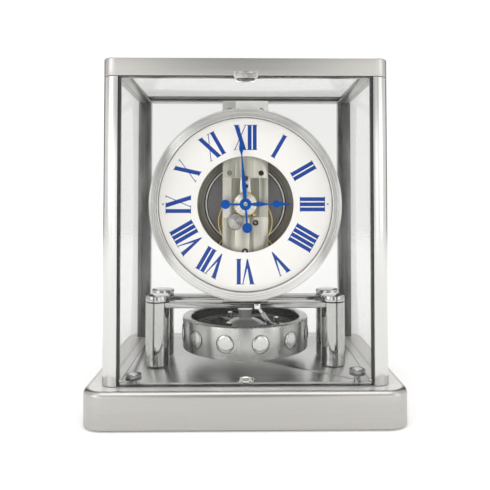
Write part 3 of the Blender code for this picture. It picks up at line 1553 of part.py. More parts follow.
def make_lock_lever():
    """The lever on the front crossbar that is lowered on to the pendulum's disc to hold it."""
    block_back = FRONT_BAR_FRONT - GAP
    block_front = block_back - LEVER_DEPTH
    length = math.hypot(LEVER_ARM_X, LEVER_ARM_DROP)
    lean = math.atan2(LEVER_ARM_X, LEVER_ARM_DROP)
    radius = LEVER_ARM_RADIUS
    upright = arc(radius, 0, math.pi, CORNER_STEPS) + arc(radius, math.pi, math.tau, CORNER_STEPS, (0, -length))
    loop = [
        (x * math.cos(lean) - y * math.sin(lean), x * math.sin(lean) + y * math.cos(lean)) for x, y in upright
    ]
    lever = as_mesh(
        outline(
            "lock_lever",
            [loop],
            LEVER_ARM_THICKNESS,
            at=(LEVER_X, (block_front + block_back) / 2, LEVER_Z),
        )
    )
    lever.data.materials.append(polished("lock_lever_finish"))
    join(
        lever,
        rod(
            "lever_boss",
            LEVER_BOSS_RADIUS,
            (LEVER_X, block_front, LEVER_Z),
            (LEVER_X, block_back, LEVER_Z),
            home=CUTTERS,
        ),
    )
    join(
        lever,
        rod(
            "lever_pin",
            LEVER_PIN_RADIUS,
            (LEVER_X, (block_front + block_back) / 2, LEVER_Z),
            (LEVER_X, FRONT_BAR_FRONT + LEVER_PIN_LENGTH - GAP, LEVER_Z),
            steps=TINY_STEPS,
            home=CUTTERS,
        ),
    )


make_plinth()
make_corner_posts()
make_cap()
make_panes()
make_door()
make_front_fittings()
make_round_posts()
make_movement_base()
make_plates()
make_train()
make_motion_work()
make_hands()
make_dial()
make_bellows_drum()
make_pendulum()
make_lock_lever()
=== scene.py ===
"""Looks of an atmospheric clock: a torsion-pendulum mantel clock in a glazed silver case.

Each sub-assembly is a class that models its pieces with Blender's operators and dresses them. Most
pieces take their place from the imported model's own nodes, in metres, with the dial facing -Y.
"""

from __future__ import annotations

import logging
import math
from collections.abc import Callable
from dataclasses import dataclass
from enum import Enum

import bmesh
import bpy
from mathutils import Euler, Matrix, Vector

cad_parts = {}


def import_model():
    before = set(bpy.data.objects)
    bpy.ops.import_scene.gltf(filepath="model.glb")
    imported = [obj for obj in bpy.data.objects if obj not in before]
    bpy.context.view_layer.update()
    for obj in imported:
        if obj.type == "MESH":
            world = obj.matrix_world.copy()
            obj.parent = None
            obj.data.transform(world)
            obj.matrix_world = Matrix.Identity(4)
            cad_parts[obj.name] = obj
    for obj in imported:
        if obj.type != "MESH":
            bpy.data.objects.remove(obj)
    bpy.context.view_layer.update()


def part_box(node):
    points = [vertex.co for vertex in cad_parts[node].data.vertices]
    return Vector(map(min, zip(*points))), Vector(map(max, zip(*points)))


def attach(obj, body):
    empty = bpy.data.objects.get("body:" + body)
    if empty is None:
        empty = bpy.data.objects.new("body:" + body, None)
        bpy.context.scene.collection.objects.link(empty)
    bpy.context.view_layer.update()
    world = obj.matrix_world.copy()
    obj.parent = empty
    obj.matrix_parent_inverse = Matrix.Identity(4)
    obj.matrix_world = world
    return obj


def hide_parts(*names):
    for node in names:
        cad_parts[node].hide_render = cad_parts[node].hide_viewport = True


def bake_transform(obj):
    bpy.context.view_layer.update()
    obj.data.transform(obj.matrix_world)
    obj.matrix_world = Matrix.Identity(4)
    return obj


LOG = logging.getLogger("atmospheric_clock")
MM = 0.001
WELD = 0.002 * MM
OVERRUN = 1.0 * MM
SHARP = math.radians(32)
SHALLOW = math.radians(24)
STEEP = math.radians(50)
DIAL_HEIGHT = 134.0 * MM
SIDES = ("left", "right")
ROWS = ("front", "rear")

Triple = tuple[float, float, float]
Pair = tuple[float, float]
Pairs = tuple[Pair, ...]
Loop = list[Pair]
Piece = bpy.types.Object
Socket = bpy.types.NodeSocket


class Body(Enum):
    """The rigid bodies that the pieces ride on."""

    CASE = "case"
    DOOR = "front_door"
    MINUTE = "minute_group"
    HOUR = "hour_group"
    MINUTE_WHEEL = "minute_wheel_group"
    INTERMEDIATE = "intermediate_group"
    BARREL = "barrel_group"
    PENDULUM = "pendulum"
    LEVER = "lock_lever_group"
    LEFT_SCREW = "left_screw"
    RIGHT_SCREW = "right_screw"
    PRESSURE_PLATE = "pressure_plate_group"


class Slot(Enum):
    """The record's material slots."""

    SATIN = "satin_silver"
    POLISHED = "polished_silver"
    STEEL = "bright_steel"
    GILT = "gilt_brass"
    DRUM = "drum_grey"
    DIAL = "dial_white"
    BLUE = "hand_blue"
    GLASS = "clear_glass"
    PLASTIC = "black_plastic"
    RUBBER = "foot_rubber"


class Axis(Enum):
    """The axis that a lathe shape turns about."""

    X = (1.0, 0.0, 0.0)
    Y = (0.0, 1.0, 0.0)
    Z = (0.0, 0.0, 1.0)


class Facing(Enum):
    """Which way a flat outline's front looks, as an Euler turn of a plan drawn in X and Y."""

    UP = (0.0, 0.0, 0.0)
    FRONT = (math.pi / 2, 0.0, 0.0)


# ---------------------------------------------------------------- finishes


class Tree:
    """Adds shader nodes to a material or a world and joins them."""

    def __init__(self, owner: bpy.types.Material | bpy.types.World) -> None:
        """Start from the shader that the owner comes with.

        Args:
            owner: What to add nodes to.
        """
        owner.use_nodes = True
        self.nodes = owner.node_tree.nodes
        self.links = owner.node_tree.links
        self.shader = self.nodes.get("Principled BSDF") or self.nodes["Background"]
        self.output = self.nodes.get("Material Output")

    def feed(self, node: bpy.types.Node, values: dict[int | str, object]) -> None:
        """Give a node's inputs a socket to follow or a plain value.

        Args:
            node: The node.
            values: The socket or value of each input.
        """
        for key, value in values.items():
            if isinstance(value, Socket):
                self.links.new(value, node.inputs[key])
            else:
                node.inputs[key].default_value = value

    def add(
        self, kind: str, values: dict[int | str, object] | None = None, **settings: object
    ) -> bpy.types.Node:
        """Add a node.

        Args:
            kind: The node's type, without its ShaderNode prefix.
            values: What its inputs follow or hold.
            settings: Properties of the node to set.

        Returns:
            The new node.
        """
        node = self.nodes.new("ShaderNode" + kind)
        for name, value in settings.items():
            setattr(node, name, value)
        self.feed(node, values or {})
        return node

    def math(self, operation: str, first: object, second: object = 0.0) -> Socket:
        """The result of a sum on sockets or plain values."""
        return self.add("Math", {0: first, 1: second}, operation=operation).outputs[0]

    def mix(self, share: Socket, first: object, second: object) -> Socket:
        """A number that goes from a first one to a second one by a share."""
        values = {"Factor": share, "A": first, "B": second}
        return self.add("Mix", values, data_type="FLOAT").outputs["Result"]

    def place(self) -> Socket:
        """The point's place in the clock's own frame."""
        return self.add("TexCoord").outputs["Object"]

    def around(self, axis: Axis, centre: Triple) -> Socket:
        """The point's radius, share of a turn and height about an axis, as one vector.

        Args:
            axis: The axis to measure about.
            centre: A point on the axis.

        Returns:
            The vector's socket.
        """
        shift = self.add("VectorMath", {0: self.place(), 1: centre}, operation="SUBTRACT")
        split = self.add("SeparateXYZ", {0: shift.outputs[0]})
        order = {Axis.X: (1, 2, 0), Axis.Y: (0, 2, 1), Axis.Z: (0, 1, 2)}[axis]
        across, up, along = (split.outputs[i] for i in order)
        squares = [self.math("MULTIPLY", part, part) for part in (across, up)]
        radius = self.math("SQRT", self.math("ADD", *squares))
        share = self.math("DIVIDE", self.math("ARCTAN2", up, across), math.tau)
        return self.add("CombineXYZ", {0: radius, 1: share, 2: along}).outputs[0]

    def noise(self, where: Socket, stretch: Triple, detail: float) -> Socket:
        """A noise pattern around one half.

        Args:
            where: The coordinate to read.
            stretch: How many cells there are in a unit of each of its parts.
            detail: How many finer layers the noise has.

        Returns:
            The noise's socket.
        """
        scaled = self.add("VectorMath", {0: where, 1: stretch}, operation="MULTIPLY")
        values = {"Vector": scaled.outputs[0], "Scale": 1.0, "Detail": detail, "Roughness": 0.6}
        return self.add("TexNoise", values).outputs["Fac"]

    def ranged(self, value: Socket, low: float, high: float) -> Socket:
        """A noise whose usual values are spread over a range."""
        values = {"Value": value, "From Min": 0.3, "From Max": 0.7, "To Min": low, "To Max": high}
        return self.add("MapRange", values).outputs["Result"]

    def ramp(self, value: Socket, stops: Pairs) -> Socket:
        """A number that follows a line through stops.

        Args:
            value: What is looked up, from 0 to 1.
            stops: (place, number) pairs, the numbers up to 2.

        Returns:
            The number's socket.
        """
        node = self.add("ValToRGB", {"Fac": value})
        elements = node.color_ramp.elements
        while len(elements) < len(stops):
            elements.new(0.5)
        for element, (at, number) in zip(elements, stops):
            element.position = at
            element.color = (number / 2, number / 2, number / 2, 1)
        return self.math("MULTIPLY", node.outputs["Color"], 2.0)


@dataclass(frozen=True)
class Finish:
    """A surface finish; each kind adds its own pattern."""

    name: str
    slot: Slot
    colour: Triple
    roughness: float
    metallic: float = 0.0
    spread: float = 0.03
    roughness_spread: float = 0.04
    depth: float = 0.002 * MM
    specular: float = 0.5

    def pattern(self, tree: Tree) -> None:
        """Add the finish's own pattern: here a fine even mottle."""
        mottle = tree.noise(tree.place(), (900.0, 900.0, 900.0), 3)
        self.lay(tree, mottle, tree.noise(tree.place(), (60.0, 60.0, 60.0), 4), mottle)

    def lay(self, tree: Tree, tone: Socket, grain: Socket, relief: Socket) -> None:
        """Vary the surface by noises.

        Args:
            tree: The material's tree.
            tone: The noise that varies the colour.
            grain: The noise that varies the roughness.
            relief: The noise that raises the surface.
        """
        darker, lighter = (
            (*(min(1.0, part * (1 + share)) for part in self.colour), 1)
            for share in (-self.spread, self.spread)
        )
        values = {"Factor": tree.ranged(tone, 0.0, 1.0), "A": darker, "B": lighter}
        tinted = tree.add("Mix", values, data_type="RGBA").outputs["Result"]
        low = max(0.02, self.roughness - self.roughness_spread)
        rough = tree.ranged(grain, low, self.roughness + self.roughness_spread)
        bump = tree.add("Bump", {"Height": relief, "Distance": self.depth, "Strength": 1.0})
        values = {"Base Color": tinted, "Roughness": rough, "Normal": bump.outputs["Normal"]}
        tree.feed(tree.shader, values)

    def material(self) -> bpy.types.Material:
        """The finish's material, made once.

        Returns:
            The material.
        """
        known = bpy.data.materials.get(self.name)
        if known:
            return known
        made = bpy.data.materials.new(self.name)
        tree = Tree(made)
        values = {"Metallic": self.metallic, "Specular IOR Level": self.specular}
        tree.feed(tree.shader, values | {"Base Color": (*self.colour, 1)})
        self.pattern(tree)
        return made


@dataclass(frozen=True)
class BrushedMetal(Finish):
    """Metal with fine straight lines along one axis, and faint wider streaks."""

    along: Axis = Axis.X
    metallic: float = 1.0
    lines: float = 5000.0
    streaks: float = 260.0
    run: float = 18.0

    def pattern(self, tree: Tree) -> None:
        """Add the lines and streaks."""
        place = tree.place()
        fine = tree.noise(place, self.stretched(self.lines, self.run), 3)
        broad = tree.noise(place, self.stretched(self.streaks, self.run / 4), 2)
        both = [tree.math("MULTIPLY", *part) for part in ((fine, 0.6), (broad, 0.4))]
        self.lay(tree, broad, tree.math("ADD", *both), fine)

    def stretched(self, across: float, run: float) -> Triple:
        """Cells per metre that are long along the axis and narrow across it."""
        return tuple(run if part else across for part in self.along.value)


@dataclass(frozen=True)
class TurnedMetal(Finish):
    """Metal with lines round an axis, as a lathe or a polishing wheel leaves them."""

    axis: Axis = Axis.Y
    centre: Triple = (0.0, 0.0, DIAL_HEIGHT)
    metallic: float = 1.0
    lines: float = 4000.0
    around: float = 6.0
    anisotropy: float = 0.0
    anisotropy_turn: float = 0.0

    def pattern(self, tree: Tree) -> None:
        """Add the lines."""
        values = {"Anisotropic": self.anisotropy, "Anisotropic Rotation": self.anisotropy_turn}
        tree.feed(tree.shader, values)
        fine, broad = self.noises(tree, tree.around(self.axis, self.centre))
        self.lay(tree, broad, fine, fine)

    def noises(self, tree: Tree, place: Socket) -> tuple[Socket, Socket]:
        """The fine lines and the broad ones.

        Args:
            tree: The material's tree.
            place: The point's place about the axis.

        Returns:
            Their sockets.
        """
        lines, around = self.lines, self.around
        fine = tree.noise(place, (lines, around, lines), 3)
        return fine, tree.noise(place, (lines / 12, around / 2, lines / 12), 2)


@dataclass(frozen=True)
class SunrayMetal(TurnedMetal):
    """Metal with lines that run out from an axis, as on a sunray-brushed disc."""

    rays: float = 90.0

    def noises(self, tree: Tree, place: Socket) -> tuple[Socket, Socket]:
        """The rays, fine and broad alike."""
        rays = tree.noise(place, (40.0, self.rays, 40.0), 3)
        return rays, rays


@dataclass(frozen=True)
class PolishedMetal(Finish):
    """Mirror-polished metal with faint smears and hairline scratches."""

    metallic: float = 1.0
    roughness_spread: float = 0.03

    def pattern(self, tree: Tree) -> None:
        """Add the smears and scratches."""
        smears = tree.noise(tree.place(), (45.0, 45.0, 70.0), 5)
        self.lay(tree, smears, smears, tree.noise(tree.place(), (3500.0, 400.0, 120.0), 2))


@dataclass(frozen=True)
class ClearGlass(Finish):
    """Clear glass that lets light straight through and mirrors a little at its faces."""

    roughness: float = 0.0
    mirror: float = 0.012
    edge_mirror: float = 0.4

    def pattern(self, tree: Tree) -> None:
        """Mix a clear shader with a glossy one, more of it where the pane is seen edge on."""
        clear = tree.add("BsdfTransparent", {"Color": (*self.colour, 1)})
        gloss = tree.add("BsdfGlossy", {"Roughness": self.roughness})
        weight = tree.add("LayerWeight", {"Blend": 0.5})
        grazing = tree.math("POWER", weight.outputs["Facing"], 5.0)
        share = tree.math("ADD", tree.math("MULTIPLY", grazing, self.edge_mirror), self.mirror)
        mix = tree.add("MixShader", {0: share, 1: clear.outputs[0], 2: gloss.outputs[0]})
        tree.feed(tree.output, {"Surface": mix.outputs[0]})


ROUND_PENDULUM = {"axis": Axis.Z, "centre": (0.0, -1.0 * MM, 0.0)}
SATIN_LONG = BrushedMetal("satin_silver_long", Slot.SATIN, (0.48, 0.468, 0.448), 0.3)
SATIN_UPRIGHT = BrushedMetal(
    "satin_silver_upright", Slot.SATIN, (0.66, 0.655, 0.64), 0.22, along=Axis.Z
)
# Painted shade: a far darker copy of the posts' satin silver, so the rear corner posts show as
# shaded.
SATIN_REAR_PAINTED_SHADE = BrushedMetal(
    "satin_silver_rear_painted_shade", Slot.SATIN, (0.175, 0.175, 0.173), 0.2,
    along=Axis.Z, spread=0.55, streaks=70.0, run=90.0,
)
BAR_METAL = BrushedMetal(
    "bar_metal", Slot.SATIN, (0.37, 0.365, 0.355), 0.16, spread=0.04, depth=0.0003 * MM
)
# Painted light: a lighter, half-metallic copy of the plinth's satin silver, laid on the plinth's
# top faces where the light falls.
DECK_PAINTED_LIGHT = BrushedMetal("deck_painted_light_metal", Slot.SATIN, (0.70, 0.69, 0.67), 0.34, metallic=0.5)
# Painted shade: a dark copy of the satin silver, laid as thin strips on the cap's inner side faces.
RAIL_SHADE = BrushedMetal(
    "rail_painted_shade", Slot.SATIN, (0.27, 0.272, 0.27), 0.25, spread=0.25, streaks=90.0
)
FLOOR_METAL = BrushedMetal(
    "floor_metal", Slot.SATIN, (0.60, 0.596, 0.587), 0.3, depth=0.0015 * MM
)
# Painted light: a lighter, half-metallic copy of the plate metal, for the top strip at the plate's
# left.
PLATE_TOP_LIGHT = BrushedMetal("plate_top_painted_light", Slot.SATIN, (0.62, 0.62, 0.61), 0.34, metallic=0.5)
PLATE_METAL = BrushedMetal(
    "plate_metal", Slot.SATIN, (0.62, 0.605, 0.54), 0.34, along=Axis.Z, spread=0.08, streaks=160.0
)
PLATE_MIDDLE = BrushedMetal(
    "plate_middle_metal", Slot.SATIN, (0.62, 0.595, 0.52), 0.32,
    along=Axis.Z, spread=0.1, streaks=160.0,
)
# Painted shade and reflection: a darker copy of the plate metal for the strips and panels where the
# plate's reflections show darker.
PLATE_SHADE = BrushedMetal(
    "plate_shaded_metal", Slot.SATIN, (0.41, 0.40, 0.345), 0.3,
    along=Axis.Z, spread=0.14, streaks=160.0,
)
# Painted shade: a dark copy of the plate metal, for the sheet behind the plate's cut-out and a
# strip beside it.
WINDOW_METAL = BrushedMetal(
    "window_metal", Slot.SATIN, (0.31, 0.295, 0.245), 0.34,
    along=Axis.Z, spread=0.3, streaks=120.0, run=60.0,
)
TOOTH_METAL = BrushedMetal("wheel_tooth_metal", Slot.GILT, (0.50, 0.41, 0.22), 0.3, along=Axis.Y)
HAND_BLUE = BrushedMetal(
    "hand_lacquer", Slot.BLUE, (0.0, 0.072, 0.34), 0.3, metallic=0.0, spread=0.2, specular=0.12
)
BEZEL_METAL = TurnedMetal(
    "bezel_metal", Slot.SATIN, (0.76, 0.755, 0.74), 0.26, spread=0.15, lines=11000.0
)
COIN_METAL = TurnedMetal("coin_edge_metal", Slot.SATIN, (0.42, 0.415, 0.405), 0.26)
# Painted shade: a dark copy of the bezel metal, for the lip's inner slope.
BEZEL_SHADE_METAL = TurnedMetal("bezel_groove_metal", Slot.SATIN, (0.22, 0.22, 0.215), 0.4)
# Painted shade: a darkened copy of the gilt brass, for the two brass wheels behind the plate.
SHADED_BRASS = TurnedMetal("wheel_brass_painted_shade", Slot.GILT, (0.17, 0.15, 0.10), 0.35)
GILT = TurnedMetal("gilt_brass_finish", Slot.GILT, (0.74, 0.57, 0.20), 0.24, spread=0.06)
DRUM_METAL = TurnedMetal(
    "drum_grey_finish", Slot.DRUM, (0.235, 0.225, 0.19), 0.32,
    metallic=0.8, spread=0.3, lines=5200.0, anisotropy=0.75,
)
DRUM_FACE = TurnedMetal(
    "drum_face_finish", Slot.DRUM, (0.235, 0.23, 0.228), 0.36,
    metallic=0.9, spread=0.04, anisotropy=0.7,
)
DISC_METAL = TurnedMetal(
    "pendulum_disc_metal", Slot.STEEL, (0.27, 0.27, 0.26), 0.26, **ROUND_PENDULUM
)
DOME_METAL = TurnedMetal(
    "pendulum_dome_metal", Slot.STEEL, (0.55, 0.55, 0.54), 0.3, metallic=0.5, **ROUND_PENDULUM
)
RING_METAL = SunrayMetal(
    "pendulum_metal", Slot.SATIN, (0.455, 0.452, 0.441), 0.27, spread=0.14, depth=0.0003 * MM,
    rays=16.0, anisotropy=0.6, anisotropy_turn=0.25, **ROUND_PENDULUM,
)
# Painted shade: a near-black copy of the ring's metal, as a thin skin over the ring's bore.
RING_BORE_SHADE = SunrayMetal(
    "pendulum_bore_metal", Slot.SATIN, (0.085, 0.084, 0.08), 0.22,
    spread=0.7, rays=20.0, **ROUND_PENDULUM,
)
SUNRAY_METAL = SunrayMetal(
    "sunray_silver", Slot.SATIN, (0.62, 0.61, 0.56), 0.28, spread=0.3, rays=18.0, depth=0.001 * MM
)
MINUTE_SUNRAY_METAL = SunrayMetal(
    "minute_wheel_silver", Slot.SATIN, (0.45, 0.442, 0.415), 0.3,
    spread=0.1, depth=0.001 * MM, rays=7.0, centre=(-7.1 * MM, 0.0, 121.8 * MM),
)
CHROME = PolishedMetal("polished_silver_finish", Slot.POLISHED, (0.76, 0.76, 0.75), 0.06)
PILLAR_CHROME = PolishedMetal("polished_pillar_finish", Slot.POLISHED, (0.50, 0.50, 0.49), 0.05)
STUD_METAL = PolishedMetal("stud_metal", Slot.POLISHED, (0.60, 0.60, 0.59), 0.13)
# Painted light: a near-white, half-diffuse copy of polished steel, so the hub shows bright though
# it hangs in shade.
HUB_METAL = PolishedMetal("hub_metal", Slot.POLISHED, (0.98, 0.98, 0.97), 0.12, metallic=0.6)
# Painted light: a near-white, part-diffuse copy of polished metal, for parts that show bright: the
# drum's bead, the plate's top strips and the low jewel's centre.
PAINTED_LIGHT_METAL = PolishedMetal("painted_light_metal", Slot.POLISHED, (0.95, 0.95, 0.93), 0.4, metallic=0.75)
STEEL = PolishedMetal("bright_steel_finish", Slot.STEEL, (0.62, 0.62, 0.63), 0.16)
SCREW_BLUE = PolishedMetal("blued_steel", Slot.STEEL, (0.03, 0.06, 0.22), 0.18)
SCREW_DARK = PolishedMetal("dark_steel", Slot.STEEL, (0.06, 0.055, 0.05), 0.28)
SCREW_GREY = PolishedMetal("grey_steel", Slot.STEEL, (0.34, 0.34, 0.34), 0.22)
GLASS_EDGE = PolishedMetal("dark_glass_edge", Slot.GLASS, (0.02, 0.022, 0.022), 0.25, metallic=0.0)
GLASS = ClearGlass("clear_glass_finish", Slot.GLASS, (0.98, 0.981, 0.979))
CASE_GLASS = ClearGlass("case_glass_finish", Slot.GLASS, (0.912, 0.913, 0.91))
LEVEL_FLUID = Finish("level_fluid", Slot.GLASS, (0.82, 0.86, 0.78), 0.05, spread=0.02)
DIAL_WHITE = Finish("dial_lacquer", Slot.DIAL, (0.95, 0.927, 0.90), 0.42, spread=0.012)
NUMERAL_BLUE = Finish(
    "numeral_enamel", Slot.BLUE, (0.012, 0.062, 0.33), 0.45, spread=0.08, specular=0.15
)
RUBY = Finish("ruby", Slot.STEEL, (0.10, 0.012, 0.02), 0.1, spread=0.1)
# Painted shade: a dark grey band under the rear edge of the top pane.
REAR_SHADE = Finish("rear_painted_shade", Slot.PLASTIC, (0.16, 0.163, 0.162), 0.45, spread=0.15)
PLASTIC = Finish("black_plastic_finish", Slot.PLASTIC, (0.03, 0.03, 0.03), 0.5, depth=0.02 * MM)
RUBBER = Finish("foot_rubber_finish", Slot.RUBBER, (0.02, 0.02, 0.02), 0.85, depth=0.03 * MM)
PAPER = Finish("studio_paper", Slot.DIAL, (0.95, 0.95, 0.945), 0.9, spread=0.003, specular=0.1)


# ---------------------------------------------------------------- outlines


def mm(*points: Pair) -> Loop:
    """Points that are written in millimetres."""
    return [(x * MM, y * MM) for x, y in points]


def arc(radius: float, start: float, end: float, steps: int, centre: Pair = (0.0, 0.0)) -> Loop:
    """Points along an arc, its ends included.

    Args:
        radius: The arc's radius.
        start: Its first angle.
        end: Its last angle.
        steps: How many steps there are between them.
        centre: The arc's centre.

    Returns:
        The points.
    """
    angles = [start + (end - start) * i / steps for i in range(steps + 1)]
    return [(centre[0] + radius * math.cos(a), centre[1] + radius * math.sin(a)) for a in angles]


def circle(radius: float, steps: int, centre: Pair = (0.0, 0.0)) -> Loop:
    """Points round a circle."""
    return arc(radius, 0.0, math.tau, steps, centre)[:-1]


def oblong(first: Pair, last: Pair) -> Loop:
    """The four corners of a rectangle between two opposite ones."""
    return [first, (last[0], first[1]), last, (first[0], last[1])]


def toothed(radius: float, teeth: int, phase: float, height: float) -> Loop:
    """The edge of a toothed disc, with rounded teeth.

    Args:
        radius: The tips' radius.
        teeth: How many teeth there are.
        phase: The first tooth's angle.
        height: The teeth's height.

    Returns:
        The points.
    """
    pitch = math.tau / teeth
    flank = ((0.0, 0.0), (0.12, 0.1), (0.2, 0.55), (0.27, 1.0))
    shape = (*flank, (0.5, 1.0), (0.73, 1.0), (0.8, 0.55), (0.88, 0.1))
    points = []
    for i in range(teeth):
        for share, depth in shape:
            angle = phase + (i + share) * pitch
            reach = radius - height * depth
            points.append((reach * math.cos(angle), reach * math.sin(angle)))
    return points


def clockwise(loop: Loop, angle: float) -> Loop:
    """A loop that is turned clockwise about its origin."""
    cos, sin = math.cos(angle), math.sin(angle)
    return [(x * cos + y * sin, y * cos - x * sin) for x, y in loop]


# ---------------------------------------------------------------- modelling


def hold(piece: Piece) -> None:
    """Select one piece and make it the active one."""
    bpy.ops.object.select_all(action="DESELECT")
    piece.select_set(True)
    bpy.context.view_layer.objects.active = piece


def settle(name: str) -> Piece:
    """Name the active object and put its place, turn and scale into its mesh.

    Args:
        name: The piece's name.

    Returns:
        The piece.
    """
    piece = bpy.context.view_layer.objects.active
    piece.name = name
    piece.data.name = name
    bpy.ops.object.transform_apply(location=True, rotation=True, scale=True)
    return piece


def tidy_mesh(*, flat: bool = False) -> None:
    """Weld the edited mesh and turn its faces outwards, merging flat ones where asked."""
    bpy.ops.mesh.select_all(action="SELECT")
    bpy.ops.mesh.remove_doubles(threshold=WELD)
    if flat:
        bpy.ops.mesh.dissolve_limited(angle_limit=math.radians(0.05))
    bpy.ops.mesh.normals_make_consistent(inside=False)
    bpy.ops.object.mode_set(mode="OBJECT")


def smooth(piece: Piece, angle: float = SHARP) -> Piece:
    """Shade a piece smooth but for its sharp edges."""
    hold(piece)
    bpy.ops.object.shade_smooth_by_angle(angle=angle)
    return piece


def apply_modifier(piece: Piece, kind: str, **settings: object) -> None:
    """Add a modifier and apply it at once.

    Args:
        piece: The piece to change.
        kind: The modifier's type.
        settings: Its properties.
    """
    hold(piece)
    modifier = piece.modifiers.new(kind.lower(), kind)
    for name, value in settings.items():
        setattr(modifier, name, value)
    bpy.ops.object.modifier_apply(modifier=modifier.name)


def block(name: str, low: Triple, high: Triple) -> Piece:
    """A box between two corners, to be shaped further.

    Args:
        name: The piece's name.
        low: Its lowest corner.
        high: Its highest corner.

    Returns:
        The piece.
    """
    middle = [(a + b) / 2 for a, b in zip(low, high)]
    size = [b - a for a, b in zip(low, high)]
    bpy.ops.mesh.primitive_cube_add(size=1, location=middle, scale=size)
    return settle(name)


def rod(name: str, radius: float, start: Triple, end: Triple, steps: int = 32) -> Piece:
    """A round bar between two points.

    Args:
        name: The piece's name.
        radius: Its radius.
        start: The middle of one end.
        end: The middle of the other.
        steps: How many sides it has.

    Returns:
        The piece.
    """
    along = Vector(end) - Vector(start)
    bpy.ops.mesh.primitive_cylinder_add(
        vertices=steps,
        radius=radius,
        depth=along.length,
        location=(Vector(start) + Vector(end)) / 2,
        rotation=along.to_track_quat("Z", "Y").to_euler(),
    )
    return settle(name)


def turn(
    name: str, profile: Loop, axis: Axis, centre: Triple, steps: int = 96, *, closed: bool = False
) -> Piece:
    """A lathe shape, spun from a line of (radius, distance along the axis) points.

    Args:
        name: The piece's name.
        profile: The points, from one end of the shape to the other.
        axis: The axis to spin about.
        centre: A point on the axis, that the distances count from.
        steps: How many steps the spin has.
        closed: Whether the line closes on itself and makes a ring.

    Returns:
        The piece.
    """
    along = Vector(axis.value)
    across = Vector((1, 0, 0)) if axis is not Axis.X else Vector((0, 1, 0))
    points = [Vector(centre) + across * radius + along * height for radius, height in profile]
    if closed:
        points.append(points[0])
    bpy.ops.mesh.primitive_plane_add(size=1, location=(0, 0, 0))
    bpy.ops.object.mode_set(mode="EDIT")
    bpy.ops.mesh.select_mode(type="VERT")
    bpy.ops.mesh.select_all(action="SELECT")
    bpy.ops.mesh.merge(type="CENTER")
    bpy.ops.transform.translate(value=points[0])
    for last, here in zip(points, points[1:]):
        bpy.ops.mesh.extrude_region_move(TRANSFORM_OT_translate={"value": here - last})
    bpy.ops.mesh.select_all(action="SELECT")
    bpy.ops.mesh.remove_doubles(threshold=WELD)
    bpy.ops.mesh.spin(steps=steps, angle=math.tau, center=centre, axis=along)
    tidy_mesh()
    return smooth(settle(name))


def plate(
    name: str, loops: list[Loop], thickness: float, middle: Triple, facing: Facing = Facing.FRONT
) -> Piece:
    """A flat piece from closed loops, the first of an island its edge and those in it its holes.

    Args:
        name: The piece's name.
        loops: Loops of (across, up) points that don't cross.
        thickness: Its thickness.
        middle: Where the drawing's origin lies, at half the thickness.
        facing: Which way its front looks.

    Returns:
        The piece.
    """
    curve = bpy.data.curves.new(name, "CURVE")
    curve.dimensions = "2D"
    curve.fill_mode = "BOTH"
    curve.extrude = thickness / 2
    for loop in loops:
        spline = curve.splines.new("POLY")
        spline.points.add(len(loop) - 1)
        for point, (x, y) in zip(spline.points, loop):
            point.co = (x, y, 0, 1)
        spline.use_cyclic_u = True
    drawing = bpy.data.objects.new(name, curve)
    bpy.context.scene.collection.objects.link(drawing)
    drawing.location = middle
    drawing.rotation_euler = Euler(facing.value)
    hold(drawing)
    bpy.ops.object.convert(target="MESH")
    piece = settle(name)
    bpy.ops.object.mode_set(mode="EDIT")
    tidy_mesh(flat=True)
    return piece


def bevel_edges(
    piece: Piece, wanted: Callable[[bmesh.types.BMEdge], bool], width: float, segments: int
) -> Piece:
    """Round the edges that pass a test.

    Args:
        piece: The piece to shape.
        wanted: The test of an edge.
        width: The bevel's width.
        segments: How many faces it has.

    Returns:
        The piece.
    """
    hold(piece)
    bpy.ops.object.mode_set(mode="EDIT")
    bpy.ops.mesh.select_mode(type="EDGE")
    bpy.ops.mesh.select_all(action="DESELECT")
    mesh = bmesh.from_edit_mesh(piece.data)
    for edge in mesh.edges:
        edge.select_set(wanted(edge))
    bmesh.update_edit_mesh(piece.data)
    bpy.ops.mesh.bevel(offset=width, segments=segments, profile=0.5, affect="EDGES")
    bpy.ops.object.mode_set(mode="OBJECT")
    return piece


def rounded_block(
    name: str, low: Triple, high: Triple, corner: float, rim: float = 0.0, steps: int = 12
) -> Piece:
    """A box with round upright corners and, where asked, a rounded upper rim.

    Args:
        name: The piece's name.
        low: Its lowest corner.
        high: Its highest corner.
        corner: The corners' radius in plan.
        rim: The radius along its upper rim.
        steps: How many faces a corner has.

    Returns:
        The piece.
    """
    piece = block(name, low, high)
    tall = (high[2] - low[2]) / 2
    bevel_edges(piece, lambda e: abs(e.verts[0].co.z - e.verts[1].co.z) > tall, corner, steps)
    if rim:
        bevel_edges(piece, lambda e: all(v.co.z > high[2] - WELD for v in e.verts), rim, 6)
    return piece


def soften(piece: Piece, width: float, segments: int = 2, angle: float = SHARP) -> Piece:
    """Break all of a piece's sharp edges with a small bevel, and shade it smooth.

    Args:
        piece: The piece to finish.
        width: The bevel's width.
        segments: How many faces it has.
        angle: The least angle of an edge that is sharp.

    Returns:
        The piece.
    """
    settings = {"width": width, "segments": segments, "angle_limit": angle}
    apply_modifier(piece, "BEVEL", limit_method="ANGLE", **settings)
    return smooth(piece, math.radians(40))


def cut(piece: Piece, *tools: Piece) -> Piece:
    """Take tools out of a piece and put the tools away.

    Args:
        piece: The piece to cut.
        tools: What is taken out of it.

    Returns:
        The piece.
    """
    for tool in tools:
        apply_modifier(piece, "BOOLEAN", object=tool, operation="DIFFERENCE", solver="EXACT")
        bpy.data.objects.remove(tool, do_unlink=True)
    return piece


